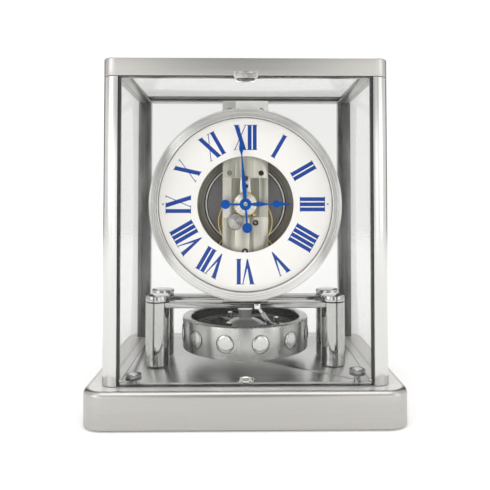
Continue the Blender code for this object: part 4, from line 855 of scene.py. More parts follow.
def copied(piece: Piece, name: str, matrix: Matrix) -> Piece:
    """A copy of a piece with a mesh of its own, moved by a matrix.

    Args:
        piece: The piece to copy.
        name: The copy's name.
        matrix: Where it goes from the first one's place.

    Returns:
        The copy.
    """
    hold(piece)
    bpy.ops.object.duplicate()
    bpy.context.view_layer.objects.active.matrix_world = matrix
    return settle(name)


def dress(piece: Piece, finish: Finish, body: Body | None, *nodes: str) -> Piece:
    """Give a piece its finish and let it ride on its body.

    Args:
        piece: The piece.
        finish: Its finish.
        body: The body it moves with, or None for a piece that bends between two.
        nodes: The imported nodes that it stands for.

    Returns:
        The piece.
    """
    piece.data.materials.clear()
    piece.data.materials.append(finish.material())
    if body is not None:
        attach(piece, body.value)
    if nodes:
        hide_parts(*nodes)
    LOG.info("%s rides on %s in %s", piece.name, body.value if body else "two bodies", finish.name)
    return piece


def measured(node: str) -> tuple[Vector, Vector, Vector, float]:
    """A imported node's lowest and highest corners, its middle and half its width."""
    low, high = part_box(node)
    return low, high, (low + high) / 2, (high.x - low.x) / 2


# ---------------------------------------------------------------- the case


@dataclass
class Plinth:
    """The plinth with its deck, the floor plate in it, and what is under it."""

    corner: float = 14.0 * MM
    rim: float = 3.4 * MM
    wall: float = 4.0 * MM
    deck: float = 4.0 * MM
    edge: float = 0.4 * MM
    gap: float = 0.3 * MM
    screw_hole: float = 2.3 * MM

    def build(self) -> None:
        """Model and dress the plinth's pieces."""
        low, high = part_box("plinth")
        floor_low, floor_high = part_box("floor_plate")
        wall, gap = self.wall, self.gap
        body = rounded_block("plinth_shell", low, high, self.corner, self.rim, 16)
        hollow = rounded_block(
            "hollow",
            (low.x + wall, low.y + wall, low.z - OVERRUN),
            (high.x - wall, high.y - wall, high.z - self.deck),
            self.corner - wall,
        )
        recess = block(
            "recess",
            (floor_low.x - gap, floor_low.y - gap, floor_low.z - gap),
            (floor_high.x + gap, floor_high.y + gap, floor_high.z + OVERRUN),
        )
        cut(body, hollow, recess, *self.holes(low.z, high.z))
        bevel_edges(body, lambda e: all(v.co.z < low.z + WELD for v in e.verts), self.edge, 2)
        dress(smooth(body, math.radians(25)), SATIN_LONG, Body.CASE, "plinth")
        # The plinth's top faces take the lighter copy of its metal: painted light.
        body.data.materials.append(DECK_PAINTED_LIGHT.material())
        for face in body.data.polygons:
            if face.center.z > high.z - WELD:
                face.material_index = 1
        floor = block("floor_sheet", floor_low, floor_high)
        cut(floor, *self.holes(floor_low.z, floor_high.z))
        dress(soften(floor, self.edge / 2), FLOOR_METAL, Body.CASE, "floor_plate")
        low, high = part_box("base_cover")
        cover = rounded_block("underside_cover", low, high, self.corner - wall - gap)
        cut(cover, *self.holes(low.z, high.z))
        dress(soften(cover, self.edge / 2), PLASTIC, Body.CASE, "base_cover")
        for side in SIDES:
            low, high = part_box(f"foot_pad_{side}")
            pad = rounded_block(f"foot_strip_{side}", low, high, (high.x - low.x) / 4, steps=6)
            dress(soften(pad, self.edge / 2), RUBBER, Body.CASE, f"foot_pad_{side}")

    def holes(self, low: float, high: float) -> list[Piece]:
        """Cutters for the levelling screws' stems, through a piece between two heights."""
        places = [(side, measured(f"levelling_screw_{side}")[2]) for side in SIDES]
        ends = (low - OVERRUN, high + OVERRUN)
        return [
            rod(f"hole_{side}", self.screw_hole, *((at.x, at.y, z) for z in ends))
            for side, at in places
        ]


@dataclass
class CaseFrame:
    """The four corner posts, the cap and the door's pins."""

    post_radius: float = 8.6 * MM
    post_edge: float = 0.35 * MM
    cap_corner: float = 8.6 * MM
    cap_rim: float = 0.8 * MM
    cap_edge: float = 0.3 * MM
    rail_height: float = 5.6 * MM
    pane_lap: float = 3.4 * MM
    pin_hole: float = 1.0 * MM
    shade_strip: float = 0.4 * MM

    def build(self) -> None:
        """Model and dress the frame."""
        for row in ROWS:
            for side in SIDES:
                self.build_post(row, side)
        self.build_cap()
        for side in SIDES:
            low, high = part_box(f"door_pin_{side}")
            y, z = (low.y + high.y) / 2, (low.z + high.z) / 2
            pin = rod(
                f"pivot_pin_{side}", (high.z - low.z) / 2, (low.x, y, z), (high.x, y, z), 24
            )
            dress(soften(pin, self.post_edge / 3), STEEL, Body.CASE, f"door_pin_{side}")

    def build_post(self, row: str, side: str) -> None:
        """Model one post: a quarter round with two flat inner faces.

        Args:
            row: "front" or "rear".
            side: "left" or "right".
        """
        node = f"corner_post_{row}_{side}"
        low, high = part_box(node)
        out_x = 1 if side == "right" else -1
        out_y = 1 if row == "rear" else -1
        inner_x = low.x if out_x > 0 else high.x
        inner_y = low.y if out_y > 0 else high.y
        width, depth = high.x - low.x, high.y - low.y
        radius = self.post_radius
        curve = arc(radius, 0.0, math.pi / 2, 14, (width - radius, depth - radius))
        loop = [(0.0, 0.0), (width, 0.0), *curve, (0.0, depth)]
        placed = [(inner_x + out_x * x, inner_y + out_y * y) for x, y in loop]
        middle = (0, 0, (low.z + high.z) / 2)
        post = plate(f"post_{row}_{side}", [placed], high.z - low.z, middle, Facing.UP)
        if row == "front":
            pin_low, pin_high, pin, _ = measured(f"door_pin_{side}")
            reach = (pin_high if out_x > 0 else pin_low).x + out_x * self.post_edge
            start = (inner_x - out_x * OVERRUN, pin.y, pin.z)
            cut(post, rod("pin_hole", self.pin_hole, start, (reach, pin.y, pin.z), 20))
        # The rear posts take the darker copy of the metal: painted shade.
        finish = SATIN_UPRIGHT if row == "front" else SATIN_REAR_PAINTED_SHADE
        dress(soften(post, self.post_edge), finish, Body.CASE, node)

    def build_cap(self) -> None:
        """Model the cap: a deep fascia in front, thinner rails behind, and the pane's rebate."""
        low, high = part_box("cap_frame")
        pane_low, pane_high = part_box("top_pane")
        cap = rounded_block("cap", low, high, self.cap_corner, self.cap_rim, 14)
        inner_x, inner_y = pane_high.x - self.pane_lap, pane_high.y - self.pane_lap
        edge = self.cap_edge
        rail = high.z - self.rail_height
        seat = pane_low.z - edge
        under = block(
            "under",
            (low.x - OVERRUN, -inner_y, low.z - OVERRUN),
            (high.x + OVERRUN, high.y + OVERRUN, rail),
        )
        opening = block(
            "opening", (-inner_x, -inner_y, low.z - OVERRUN), (inner_x, inner_y, high.z + OVERRUN)
        )
        rebate = block(
            "rebate",
            (pane_low.x - edge, pane_low.y - edge, seat),
            (pane_high.x + edge, pane_high.y + edge, high.z + OVERRUN),
        )
        cut(cap, under, opening, rebate)
        dress(soften(cap, edge, 2, STEEP), SATIN_LONG, Body.CASE, "cap_frame")
        # Thin dark strips on the cap's inner side faces: painted shade.
        depth = self.shade_strip
        for side, start, end in (
            ("left", -inner_x, -inner_x + depth),
            ("right", inner_x - depth, inner_x),
        ):
            strip = block(
                f"lining_{side}", (start, -inner_y, rail + edge), (end, inner_y, seat - edge)
            )
            dress(soften(strip, depth / 4), RAIL_SHADE, Body.CASE)


@dataclass
class Panes:
    """The fixed panes of glass, the top one's ground edge, and a dark band of painted shade under
    its rear edge.
    """

    edge: float = 0.35 * MM
    ground_edge: float = 0.8 * MM
    shade_band: float = 12.0 * MM
    shade_proud: float = 0.12 * MM

    def build(self) -> None:
        """Model and dress the top, side and rear panes."""
        for node, name in (
            ("top_pane", "glass_top"),
            ("side_pane_left", "glass_left"),
            ("side_pane_right", "glass_right"),
            ("rear_pane", "glass_rear"),
        ):
            pane = block(name, *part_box(node))
            dress(soften(pane, self.edge), CASE_GLASS, Body.CASE, node)
        low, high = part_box("top_pane")
        band, proud = self.ground_edge, self.shade_proud
        loops = [
            oblong((low.x + inset, low.y + inset), (high.x - inset, high.y - inset))
            for inset in (0.0, band)
        ]
        thickness = high.z - low.z - self.edge / 4
        middle = (0, 0, (low.z + high.z) / 2)
        frame = plate("glass_top_edge", loops, thickness, middle, Facing.UP)
        dress(frame, GLASS_EDGE, Body.CASE)
        # A dark grey band under the top pane's rear edge: painted shade.
        shade_band = block(
            "glass_top_painted_shade",
            (low.x + band, high.y - self.shade_band, low.z - proud),
            (high.x - band, high.y, low.z + proud),
        )
        dress(soften(shade_band, proud / 2), REAR_SHADE, Body.CASE)


@dataclass
class FrontDoor:
    """The glass door that drops forward on two pins, and its pull tab."""

    pin_hole: float = 1.0 * MM
    tab_corner: float = 1.6 * MM
    tab_edge: float = 0.2 * MM
    clip_height: float = 3.0 * MM
    clip_thickness: float = 0.5 * MM
    rim: float = 1.4 * MM
    foot: float = 0.4 * MM
    ridge: float = 0.35 * MM

    def build(self) -> None:
        """Model and dress the door."""
        low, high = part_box("front_door_pane")
        rim, foot = self.rim, self.foot
        left, right = low.x + rim, high.x - rim
        pane = block("glass_door", (left, low.y, low.z + foot), (right, high.y, high.z - foot))
        for side, start, end in (
            ("left", low, (left, high.y, high.z)),
            ("right", (right, low.y, low.z), high),
            ("foot", (left, low.y, low.z), (right, high.y, low.z + foot)),
            ("head", (left, low.y, high.z - foot), (right, high.y, high.z)),
        ):
            strip = block(f"glass_edge_{side}", start, end)
            if side in SIDES:
                self.drill(strip, side, start[0] - OVERRUN, end[0] + OVERRUN)
            dress(soften(strip, self.tab_edge), GLASS_EDGE, Body.DOOR)
        for side in SIDES:
            pin_low, pin_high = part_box(f"door_pin_{side}")
            slack = self.pin_hole - (pin_high.z - pin_low.z) / 2
            before, after = (OVERRUN, slack) if side == "left" else (slack, OVERRUN)
            self.drill(pane, side, pin_low.x - before, pin_high.x + after)
        dress(smooth(pane), GLASS, Body.DOOR, "front_door_pane")
        self.build_tab(high)

    def drill(self, piece: Piece, side: str, start: float, end: float) -> None:
        """Cut the hole for a pin.

        Args:
            piece: The piece to cut.
            side: The pin's side.
            start: Where the hole begins, across the clock.
            end: Where it ends.
        """
        at = measured(f"door_pin_{side}")[2]
        cut(piece, rod("pin_hole", self.pin_hole, (start, at.y, at.z), (end, at.y, at.z), 20))

    def build_tab(self, pane_high: Vector) -> None:
        """Model the pull tab with its relief, and the clip behind the pane.

        Args:
            pane_high: The pane's highest corner.
        """
        low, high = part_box("door_tab")
        half, corner, ridge, top = high.x, self.tab_corner, self.ridge, high.z
        loop = [(-half, top), (-half, low.z + corner), (-half + corner, low.z)]
        loop += [(half - corner, low.z), (half, low.z + corner), (half, top)]
        depth = high.y - low.y - ridge
        tab = plate("pull_tab", [loop], depth, (0, high.y - depth / 2, 0))
        dress(soften(tab, self.tab_edge, 3), SATIN_LONG, Body.DOOR, "door_tab")
        face = high.y - depth
        ear = (top - 3.0 * MM, top - 0.9 * MM)
        for name, x_low, x_high, (z_low, z_high), finish in (
            ("tab_bar", -0.55, 0.55, (top - 1.3 * MM, top), SATIN_LONG),
            ("tab_stem", -0.1, 0.1, (low.z + 0.9 * MM, top - 1.3 * MM), SATIN_LONG),
            ("tab_ear_left", -0.9, -0.68, ear, SATIN_LONG),
            ("tab_ear_right", 0.68, 0.9, ear, SATIN_LONG),
            # A dark strip along the tab's foot: painted shade under its lower edge.
            ("tab_lip", -0.72, 0.72, (low.z + 0.12 * MM, low.z + 0.75 * MM), SCREW_DARK),
        ):
            start = (half * x_low, face - ridge, z_low)
            part = block(name, start, (half * x_high, face + ridge, z_high))
            dress(soften(part, self.tab_edge / 2), finish, Body.DOOR)
        clip = block(
            "tab_clip",
            (-half * 0.8, pane_high.y, pane_high.z - self.clip_height),
            (half * 0.8, pane_high.y + self.clip_thickness, pane_high.z),
        )
        dress(soften(clip, self.tab_edge), CHROME, Body.DOOR)


@dataclass
class FrontFittings:
    """The spirit level in the floor and the two knurled levelling screws."""

    level_rim: float = 1.3 * MM
    bubble_radius: float = 1.3 * MM
    mark_radius: float = 2.0 * MM
    line: float = 0.18 * MM
    head_height: float = 3.3 * MM
    stem_radius: float = 2.0 * MM
    knurls: int = 44
    knurl_depth: float = 0.28 * MM
    boss: float = 3.2 * MM
    edge: float = 0.25 * MM

    def build(self) -> None:
        """Model and dress the fittings."""
        self.build_level()
        self.build_screw("left", Body.LEFT_SCREW)
        self.build_screw("right", Body.RIGHT_SCREW)

    def build_level(self) -> None:
        """Model the round spirit level with its mark and bubble."""
        low, high, at, radius = measured("level_rim")
        top = high.z - low.z
        inner, edge, line = radius - self.level_rim, self.edge, self.line
        profile = [(inner, 0.0), (radius, 0.0), (radius, top - edge), (radius - edge, top)]
        profile += [(inner + 2 * edge, top), (inner, top - 2 * edge)]
        rim = turn("level_bezel", profile, Axis.Z, (at.x, at.y, low.z), 64, closed=True)
        dress(rim, CHROME, Body.CASE, "level_rim")
        low, high, _, wide = measured("level_vial")
        height = high.z - low.z
        profile = [(0.0, 0.0), (wide, 0.0), (wide, height * 0.7), (wide * 0.6, height * 0.93)]
        profile.append((0.0, height))
        fluid = turn("level_dome", profile, Axis.Z, (at.x, at.y, low.z), 48)
        dress(fluid, LEVEL_FLUID, Body.CASE, "level_vial")
        for name, reach in (
            ("level_mark", self.mark_radius),
            ("level_bubble_edge", self.bubble_radius),
        ):
            section = oblong((reach - line, height), (reach, height + line))
            place = (at.x, at.y, low.z - line / 2)
            dress(turn(name, section, Axis.Z, place, 40, closed=True), SCREW_DARK, Body.CASE)

    def build_screw(self, side: str, body: Body) -> None:
        """Model one levelling screw.

        Args:
            side: "left" or "right".
            body: The body it rides on.
        """
        node = f"levelling_screw_{side}"
        low, high, at, radius = measured(node)
        height = self.head_height
        limit = radius - 2 * self.knurl_depth
        head = plate(
            f"knurled_head_{side}",
            [toothed(radius, self.knurls, 0.0, self.knurl_depth)],
            height,
            (at.x, at.y, high.z - height + height / 2),
            Facing.UP,
        )

        def on_rim(edge: bmesh.types.BMEdge) -> bool:
            """Whether an edge is level and lies on the head's rim."""
            first, second = (vertex.co for vertex in edge.verts)
            level = abs(first.z - second.z) < WELD
            return level and all(
                math.hypot(co.x - at.x, co.y - at.y) > limit for co in (first, second)
            )

        bevel_edges(head, on_rim, self.knurl_depth, 2)
        dress(smooth(head), SCREW_GREY, body, node)
        edge, boss, stem = self.edge, self.boss, self.stem_radius
        profile = [(0.0, high.z + edge), (boss - edge, high.z + edge), (boss, high.z)]
        profile += [(stem, high.z - edge), (stem, low.z + edge), (stem - edge, low.z), (0.0, low.z)]
        made = turn(f"levelling_stem_{side}", profile, Axis.Z, (at.x, at.y, 0.0), 40)
        dress(made, STEEL, body)


# ---------------------------------------------------------------- what carries the movement


@dataclass
class Stand:
    """The round posts, the crossbars and the plate that carry the movement."""

    edge: float = 0.6 * MM
    groove: float = 0.45 * MM
    groove_drop: float = 4.2 * MM
    slot_gap: float = 0.3 * MM
    bar_edge: float = 0.75 * MM
    wire_hole: float = 1.5 * MM
    lever_hole: float = 1.2 * MM
    lever_x: float = 8.0 * MM

    def build(self) -> None:
        """Model and dress the stand."""
        for row in ROWS:
            bar_low, bar_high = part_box(f"crossbar_{row}")
            for side in SIDES:
                self.build_post(row, side, bar_low, bar_high)
            bar = soften(block(f"bar_{row}", bar_low, bar_high), self.bar_edge, 3)
            if row == "front":
                low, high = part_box("lock_lever")
                x, z = self.lever_x, (bar_low.z + bar_high.z) / 2
                ends = ((x, low.y, z), (x, high.y + self.slot_gap, z))
                cut(bar, rod("lever_hole", self.lever_hole, *ends, 20))
            dress(bar, BAR_METAL, Body.CASE, f"crossbar_{row}")
        low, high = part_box("movement_base")
        base = soften(block("base_plate", low, high), self.bar_edge, 3)
        wire = measured("suspension_wire")[2]
        ends = ((wire.x, wire.y, low.z - OVERRUN), (wire.x, wire.y, high.z + OVERRUN))
        cut(base, rod("wire_hole", self.wire_hole, *ends))
        dress(smooth(base), BAR_METAL, Body.CASE, "movement_base")

    def build_post(self, row: str, side: str, bar_low: Vector, bar_high: Vector) -> None:
        """Model one round post with its groove, slotted for the bar.

        Args:
            row: "front" or "rear".
            side: "left" or "right".
            bar_low: The crossbar's lowest corner.
            bar_high: The crossbar's highest corner.
        """
        node = f"round_post_{row}_{side}"
        low, high, at, radius = measured(node)
        edge, groove, gap = self.edge, self.groove, self.slot_gap
        upper = high.z - self.groove_drop
        place = (at.x, at.y, 0.0)
        profile = [
            (0.0, high.z), (radius - edge, high.z), (radius - edge * 0.3, high.z - edge * 0.3),
            (radius, high.z - edge), (radius, upper + groove),
            (radius - groove, upper + groove / 2), (radius - groove, upper - groove / 2),
            (radius, upper - groove), (radius, low.z + edge), (radius - edge, low.z), (0.0, low.z),
        ]
        near = at.x + (-1 if side == "right" else 1) * 2 * radius
        far = (bar_high.x + gap) if side == "right" else (bar_low.x - gap)
        slot = (
            (min(near, far), bar_low.y - gap, bar_low.z - gap),
            (max(near, far), bar_high.y + gap, bar_high.z + gap),
        )
        post = turn(f"pillar_{row}_{side}", profile, Axis.Z, place, 80)
        cut(post, block("slot", *slot))
        dress(smooth(post), PILLAR_CHROME, Body.CASE, node)
        seat = radius - groove
        top, bottom = upper + groove / 2, upper - groove / 2
        section = oblong((seat - groove, top), (seat + groove / 4, bottom))
        band = turn(f"pillar_groove_{row}_{side}", section, Axis.Z, place, 80, closed=True)
        dress(cut(band, block("slot", *slot)), SCREW_DARK, Body.CASE)


# ---------------------------------------------------------------- the movement


@dataclass
class Fastener:
    """A cheese-head screw with a slot, or a jewel in its setting, with its back at a place."""

    name: str
    at: Triple
    radius: float
    height: float

    def screw(self, finish: Finish, slot_turn: float) -> None:
        """Model a screw whose head faces the front.

        Args:
            finish: Its finish.
            slot_turn: How far its slot is turned.
        """
        radius, height, at = self.radius, self.height, self.at
        edge = height / 4
        profile = [(0.0, -height), (radius - edge, -height), (radius, -height + edge)]
        head = turn(self.name, [*profile, (radius, 0.0), (0.0, 0.0)], Axis.Y, at, 28)
        half, reach = radius * 0.26 / 2, 2 * radius
        tool = block(
            "slot", (-reach, at[1] - 2 * height, -half), (reach, at[1] - height / 2, half)
        )
        hold(tool)
        tool.matrix_world = Matrix.Translation((at[0], 0, at[2])) @ Matrix.Rotation(
            slot_turn, 4, "Y"
        )
        settle("slot")
        dress(smooth(cut(head, tool)), finish, Body.CASE)

    def jewel(self, rim: Finish, stone: Finish, share: float = 0.78) -> None:
        """Model a jewel in its setting, with an oil sink.

        Args:
            rim: The setting's finish.
            stone: The jewel's finish.
            share: The jewel's radius as a share of the setting's.
        """
        radius, lift = self.radius, -self.height
        inner = radius * share
        section = [(inner, 0.0), (radius, 0.0), (radius, lift * 0.8), (radius * 0.9, lift)]
        section.append((inner, lift * 0.9))
        ring = turn(f"{self.name}_setting", section, Axis.Y, self.at, 28, closed=True)
        dress(ring, rim, Body.CASE)
        section = [(0.0, 0.0), (inner, 0.0), (inner, lift * 0.7), (inner * 0.45, lift * 0.6)]
        section += [(inner * 0.15, lift * 0.3), (0.0, lift * 0.3)]
        dress(turn(self.name, section, Axis.Y, self.at, 28), stone, Body.CASE)


@dataclass
class Movement:
    """The movement's plates, its visible wheels and its screws and jewels."""

    cutout_half: float = 9.7 * MM
    cutout_above: float = 18.4 * MM
    cutout_below: float = 9.1 * MM
    tongue_half: Pair = (4.1 * MM, 3.4 * MM)
    tongue_length: float = 12.5 * MM
    strip_lines: Triple = (-7.2 * MM, -3.5 * MM, 5.9 * MM)
    crown_lines: Pair = (-6.7 * MM, 6.1 * MM)
    relief: float = 0.5 * MM
    edge: float = 0.2 * MM
    crown: float = 190.0 * MM
    bore: float = 1.2 * MM
    bore_depth: float = 1.7 * MM
    shade_sheet: float = 0.4 * MM
    # Thickness of the painted highlight rings on the brass wheels.
    groove: float = 0.06 * MM
    escape_z: float = 151.8 * MM
    pallet_z: float = 166.0 * MM
    screw_x: float = 11.1 * MM
    tooth: float = 0.85 * MM
    wheel: float = 1.0 * MM

    def build(self) -> None:
        """Model and dress the movement."""
        self.build_front_plate()
        self.build_strips()
        self.build_fasteners()
        self.build_rim_highlights()
        self.build_hour_wheel()
        self.build_minute_wheel()
        for finish, nodes in (
            (PLATE_METAL, ("rear_plate", "centre_bridge")),
            (STEEL, [f"plate_pillar_{row}_{side}" for row in ("lower", "upper") for side in SIDES]),
            (GILT, ("centre_arbor", "escape_wheel")),
            (SHADED_BRASS, ("intermediate_wheel", "barrel")),
            (STEEL, ("pallet_lever", "dial_foot_lower", "dial_foot_upper")),
        ):
            for node in nodes:
                for slot in bpy.data.objects[node].material_slots:
                    slot.material = finish.material()
                LOG.info("%s keeps its solid in %s", node, finish.name)

    def build_front_plate(self) -> None:
        """Model the front plate with its cut-out and the tongue in it, and a dark sheet behind the
        cut-out that paints the shade in it.
        """
        low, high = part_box("front_plate")
        face = low.y + self.relief
        half, (wide, narrow) = self.cutout_half, self.tongue_half
        top, bottom = DIAL_HEIGHT + self.cutout_above, DIAL_HEIGHT - self.cutout_below
        foot = top - self.tongue_length
        waist = (top + foot) / 2
        hole = [(-half, bottom), (half, bottom), (half, top), (narrow, top)]
        hole += [(narrow * 1.04, waist), (wide, foot), (-wide, foot), (-narrow * 1.14, waist)]
        hole += [(-narrow, top), (-half, top)]
        loops = [oblong((low.x, low.z), (high.x, high.z)), hole]
        sheet = plate("movement_plate", loops, high.y - face, (0, (face + high.y) / 2, 0))
        heights = [measured(node)[2].z for node in ("intermediate_wheel", "barrel")]
        for z in (*heights, self.escape_z, self.pallet_z):
            ends = ((0, high.y - self.bore_depth, z), (0, high.y + OVERRUN, z))
            cut(sheet, rod("bore", self.bore, *ends, 24))
        dress(soften(sheet, self.edge), PLATE_METAL, Body.CASE, "front_plate")
        # A dark sheet over the back of the cut-out: painted shade.
        loops = [
            oblong((-half, bottom), (half, top)), circle(self.bore, 32, (0.0, DIAL_HEIGHT))
        ]
        shade_sheet = plate("window_painted_shade", loops, self.shade_sheet, (0, high.y - self.shade_sheet / 2, 0))
        ends = ((0, low.y, self.escape_z), (0, high.y + OVERRUN, self.escape_z))
        cut(shade_sheet, rod("bore", self.bore, *ends, 24))
        dress(shade_sheet, WINDOW_METAL, Body.CASE)

    def build_strips(self) -> None:
        """Model the raised strips on the front plate, each in a tone that paints light or shade:
        darker ones for painted shade and reflection, lighter ones across the top for painted light.
        """
        low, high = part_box("front_plate")
        face = low.y + self.relief
        half = self.cutout_half
        top, bottom = DIAL_HEIGHT + self.cutout_above, DIAL_HEIGHT - self.cutout_below
        left, middle, right = self.strip_lines
        crown_left, crown_right = self.crown_lines
        margin = self.relief * 0.6
        start, end, beside = low.x + margin, high.x - margin, left - margin / 3
        lower, upper = (low.z + margin, bottom - margin), (top + margin, high.z - margin)
        crown = (self.crown, high.z - margin)
        for name, x_low, x_high, rise, (z_low, z_high), finish in (
            ("plate_strip_lower", left, right, 1.0, lower, PLATE_MIDDLE),
            ("plate_strip_upper_left", left, middle, 1.0, upper, PLATE_SHADE),
            ("plate_strip_upper_right", middle, right, 0.8, upper, PLATE_SHADE),
            ("plate_panel_lower", start, beside, 0.3, lower, PLATE_SHADE),
            ("plate_panel_upper", start, beside, 0.3, upper, PLATE_SHADE),
            # A darker strip at the lower strip's right end: painted shade.
            ("plate_shade_lower", right - 3.2 * MM, right, 1.05, lower, WINDOW_METAL),
            # A panel on a flat part of the plate, there only to paint a darker reflection.
            ("plate_painted_shade_right", half + margin, end, 0.3, (bottom, top), PLATE_SHADE),
            # Lighter strips across the plate's top: painted light.
            ("plate_top_left", start, crown_left, 1.06, crown, PLATE_TOP_LIGHT),
            ("plate_top_middle", crown_left, crown_right, 1.1, crown, PAINTED_LIGHT_METAL),
            ("plate_top_right", crown_right, end, 1.06, crown, PAINTED_LIGHT_METAL),
        ):
            near = (x_low, face - self.relief * rise, z_low)
            strip = block(name, near, (x_high, face + self.relief / 5, z_high))
            dress(soften(strip, self.edge / 2), finish, Body.CASE)

    def build_fasteners(self) -> None:
        """Model the screws and jewels on the front plate."""
        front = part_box("front_plate")[0].y
        face = front + self.relief
        x = self.screw_x
        for name, across, z, finish in (
            ("left", -x, 155.8 * MM, SCREW_GREY),
            ("right", x, 155.8 * MM, SCREW_DARK),
            ("low_left", -x, 84.0 * MM, SCREW_GREY),
            ("low_right", x, 84.0 * MM, SCREW_DARK),
            ("top_left", -x, 200.0 * MM, SCREW_GREY),
            ("top_right", x, 200.0 * MM, SCREW_GREY),
        ):
            screw = Fastener(
                f"plate_screw_{name}", (across, face - 0.1 * MM, z), 1.9 * MM, 0.9 * MM
            )
            screw.screw(finish, 0.3 + (900 * (across + z)) % 2)

        def fastener(name: str, place: Pair, y: float, size: Pair) -> Fastener:
            """A fastener from its place and its (radius, height) in millimetres."""
            at = (place[0] * MM, y, place[1] * MM)
            return Fastener(name, at, size[0] * MM, size[1] * MM)

        fastener("escape_jewel", (0.5, 152.1), face, (1.9, 0.7)).jewel(SCREW_GREY, RUBY)
        fastener("tongue_screw", (0.6, 146.7), face, (1.5, 0.8)).screw(SCREW_BLUE, 0.9)
        fastener("side_jewel", (7.2, 121.0), front, (1.95, 0.7)).jewel(SCREW_DARK, SCREW_GREY, 0.4)
        fastener("stop_screw", (6.1, 126.6), face, (1.3, 0.7)).screw(GILT, 0.2)
        fastener("stop_jewel", (4.4, 126.4), face, (1.2, 0.6)).jewel(GILT, RUBY)
        # The low jewel's centre is in the near-white finish: painted highlight.
        fastener("low_jewel", (-0.2, 100.9), front, (2.3, 0.6)).jewel(SCREW_DARK, PAINTED_LIGHT_METAL, 0.4)

    def build_rim_highlights(self) -> None:
        """Model painted highlights: thin bright gilt rings on the rims of the two brass wheels,
        where their edges catch the light.
        """
        line = self.groove
        for name, body, face, (edge_rim, inner_rim) in (
            ("intermediate", Body.INTERMEDIATE, -12.2, ((18.75, 19.45), (16.05, 16.6))),
            ("barrel", Body.BARREL, -10.7, ((22.0, 22.7), (19.3, 19.85))),
        ):
            node = "barrel" if body is Body.BARREL else "intermediate_wheel"
            place = (0, face * MM, measured(node)[2].z)
            for part, (start, end) in (("edge", edge_rim), ("rim", inner_rim)):
                section = oblong((start * MM, line), (end * MM, -line))
                ring = turn(f"{name}_{part}", section, Axis.Y, place, 96, closed=True)
                dress(ring, GILT, body)

    def build_hour_wheel(self) -> None:
        """Model the hour wheel: a gilt toothed rim round a sunray-brushed disc, and its pipe."""
        low, high, _, radius = measured("hour_wheel")
        pipe, bore, thickness = 1.9 * MM, 1.2 * MM, self.wheel
        loops = [toothed(radius, 36, -math.pi / 36, self.tooth), circle(bore, 32)]
        middle = (0, high.y - thickness / 2, DIAL_HEIGHT)
        teeth = plate("hour_wheel_teeth", loops, thickness, middle)
        dress(soften(teeth, 0.08 * MM), TOOTH_METAL, Body.HOUR, "hour_wheel")
        face = radius - 0.9 * MM
        back = high.y - thickness + 0.02 * MM
        reach = low.y - back
        profile = [(bore, 0.0), (face, 0.0), (face, -0.22 * MM), (face - 0.15 * MM, -0.3 * MM)]
        profile += [(pipe + 0.8 * MM, -0.3 * MM), (pipe, -0.6 * MM), (pipe, reach), (bore, reach)]
        place = (0, back, DIAL_HEIGHT)
        disc = turn("hour_wheel_face", profile, Axis.Y, place, 64, closed=True)
        dress(disc, SUNRAY_METAL, Body.HOUR)

    def build_minute_wheel(self) -> None:
        """Model the minute wheel beside the hour wheel."""
        low, high, at, radius = measured("minute_wheel")
        middle = (at.x, low.y + self.wheel / 2, at.z)
        loops = [toothed(radius, 24, 0.0, self.tooth)]
        teeth = plate("minute_wheel_teeth", loops, self.wheel, middle)
        dress(soften(teeth, 0.08 * MM), SCREW_GREY, Body.MINUTE_WHEEL, "minute_wheel")
        face = radius - 0.75 * MM
        profile = [(0.0, 0.0), (face, 0.0), (face, -0.25 * MM), (face - 0.15 * MM, -0.35 * MM)]
        profile += mm((1.3, -0.35), (0.9, -0.55), (0.0, -0.55))
        place = (at.x, low.y + 0.02 * MM, at.z)
        disc = turn("minute_wheel_face", profile, Axis.Y, place, 56)
        dress(disc, MINUTE_SUNRAY_METAL, Body.MINUTE_WHEEL)
        stub = rod("minute_wheel_arbor", 0.9 * MM, middle, (at.x, high.y, at.z), 20)
        dress(soften(stub, 0.1 * MM), STEEL, Body.MINUTE_WHEEL)


# ---------------------------------------------------------------- dial, bezel and hands


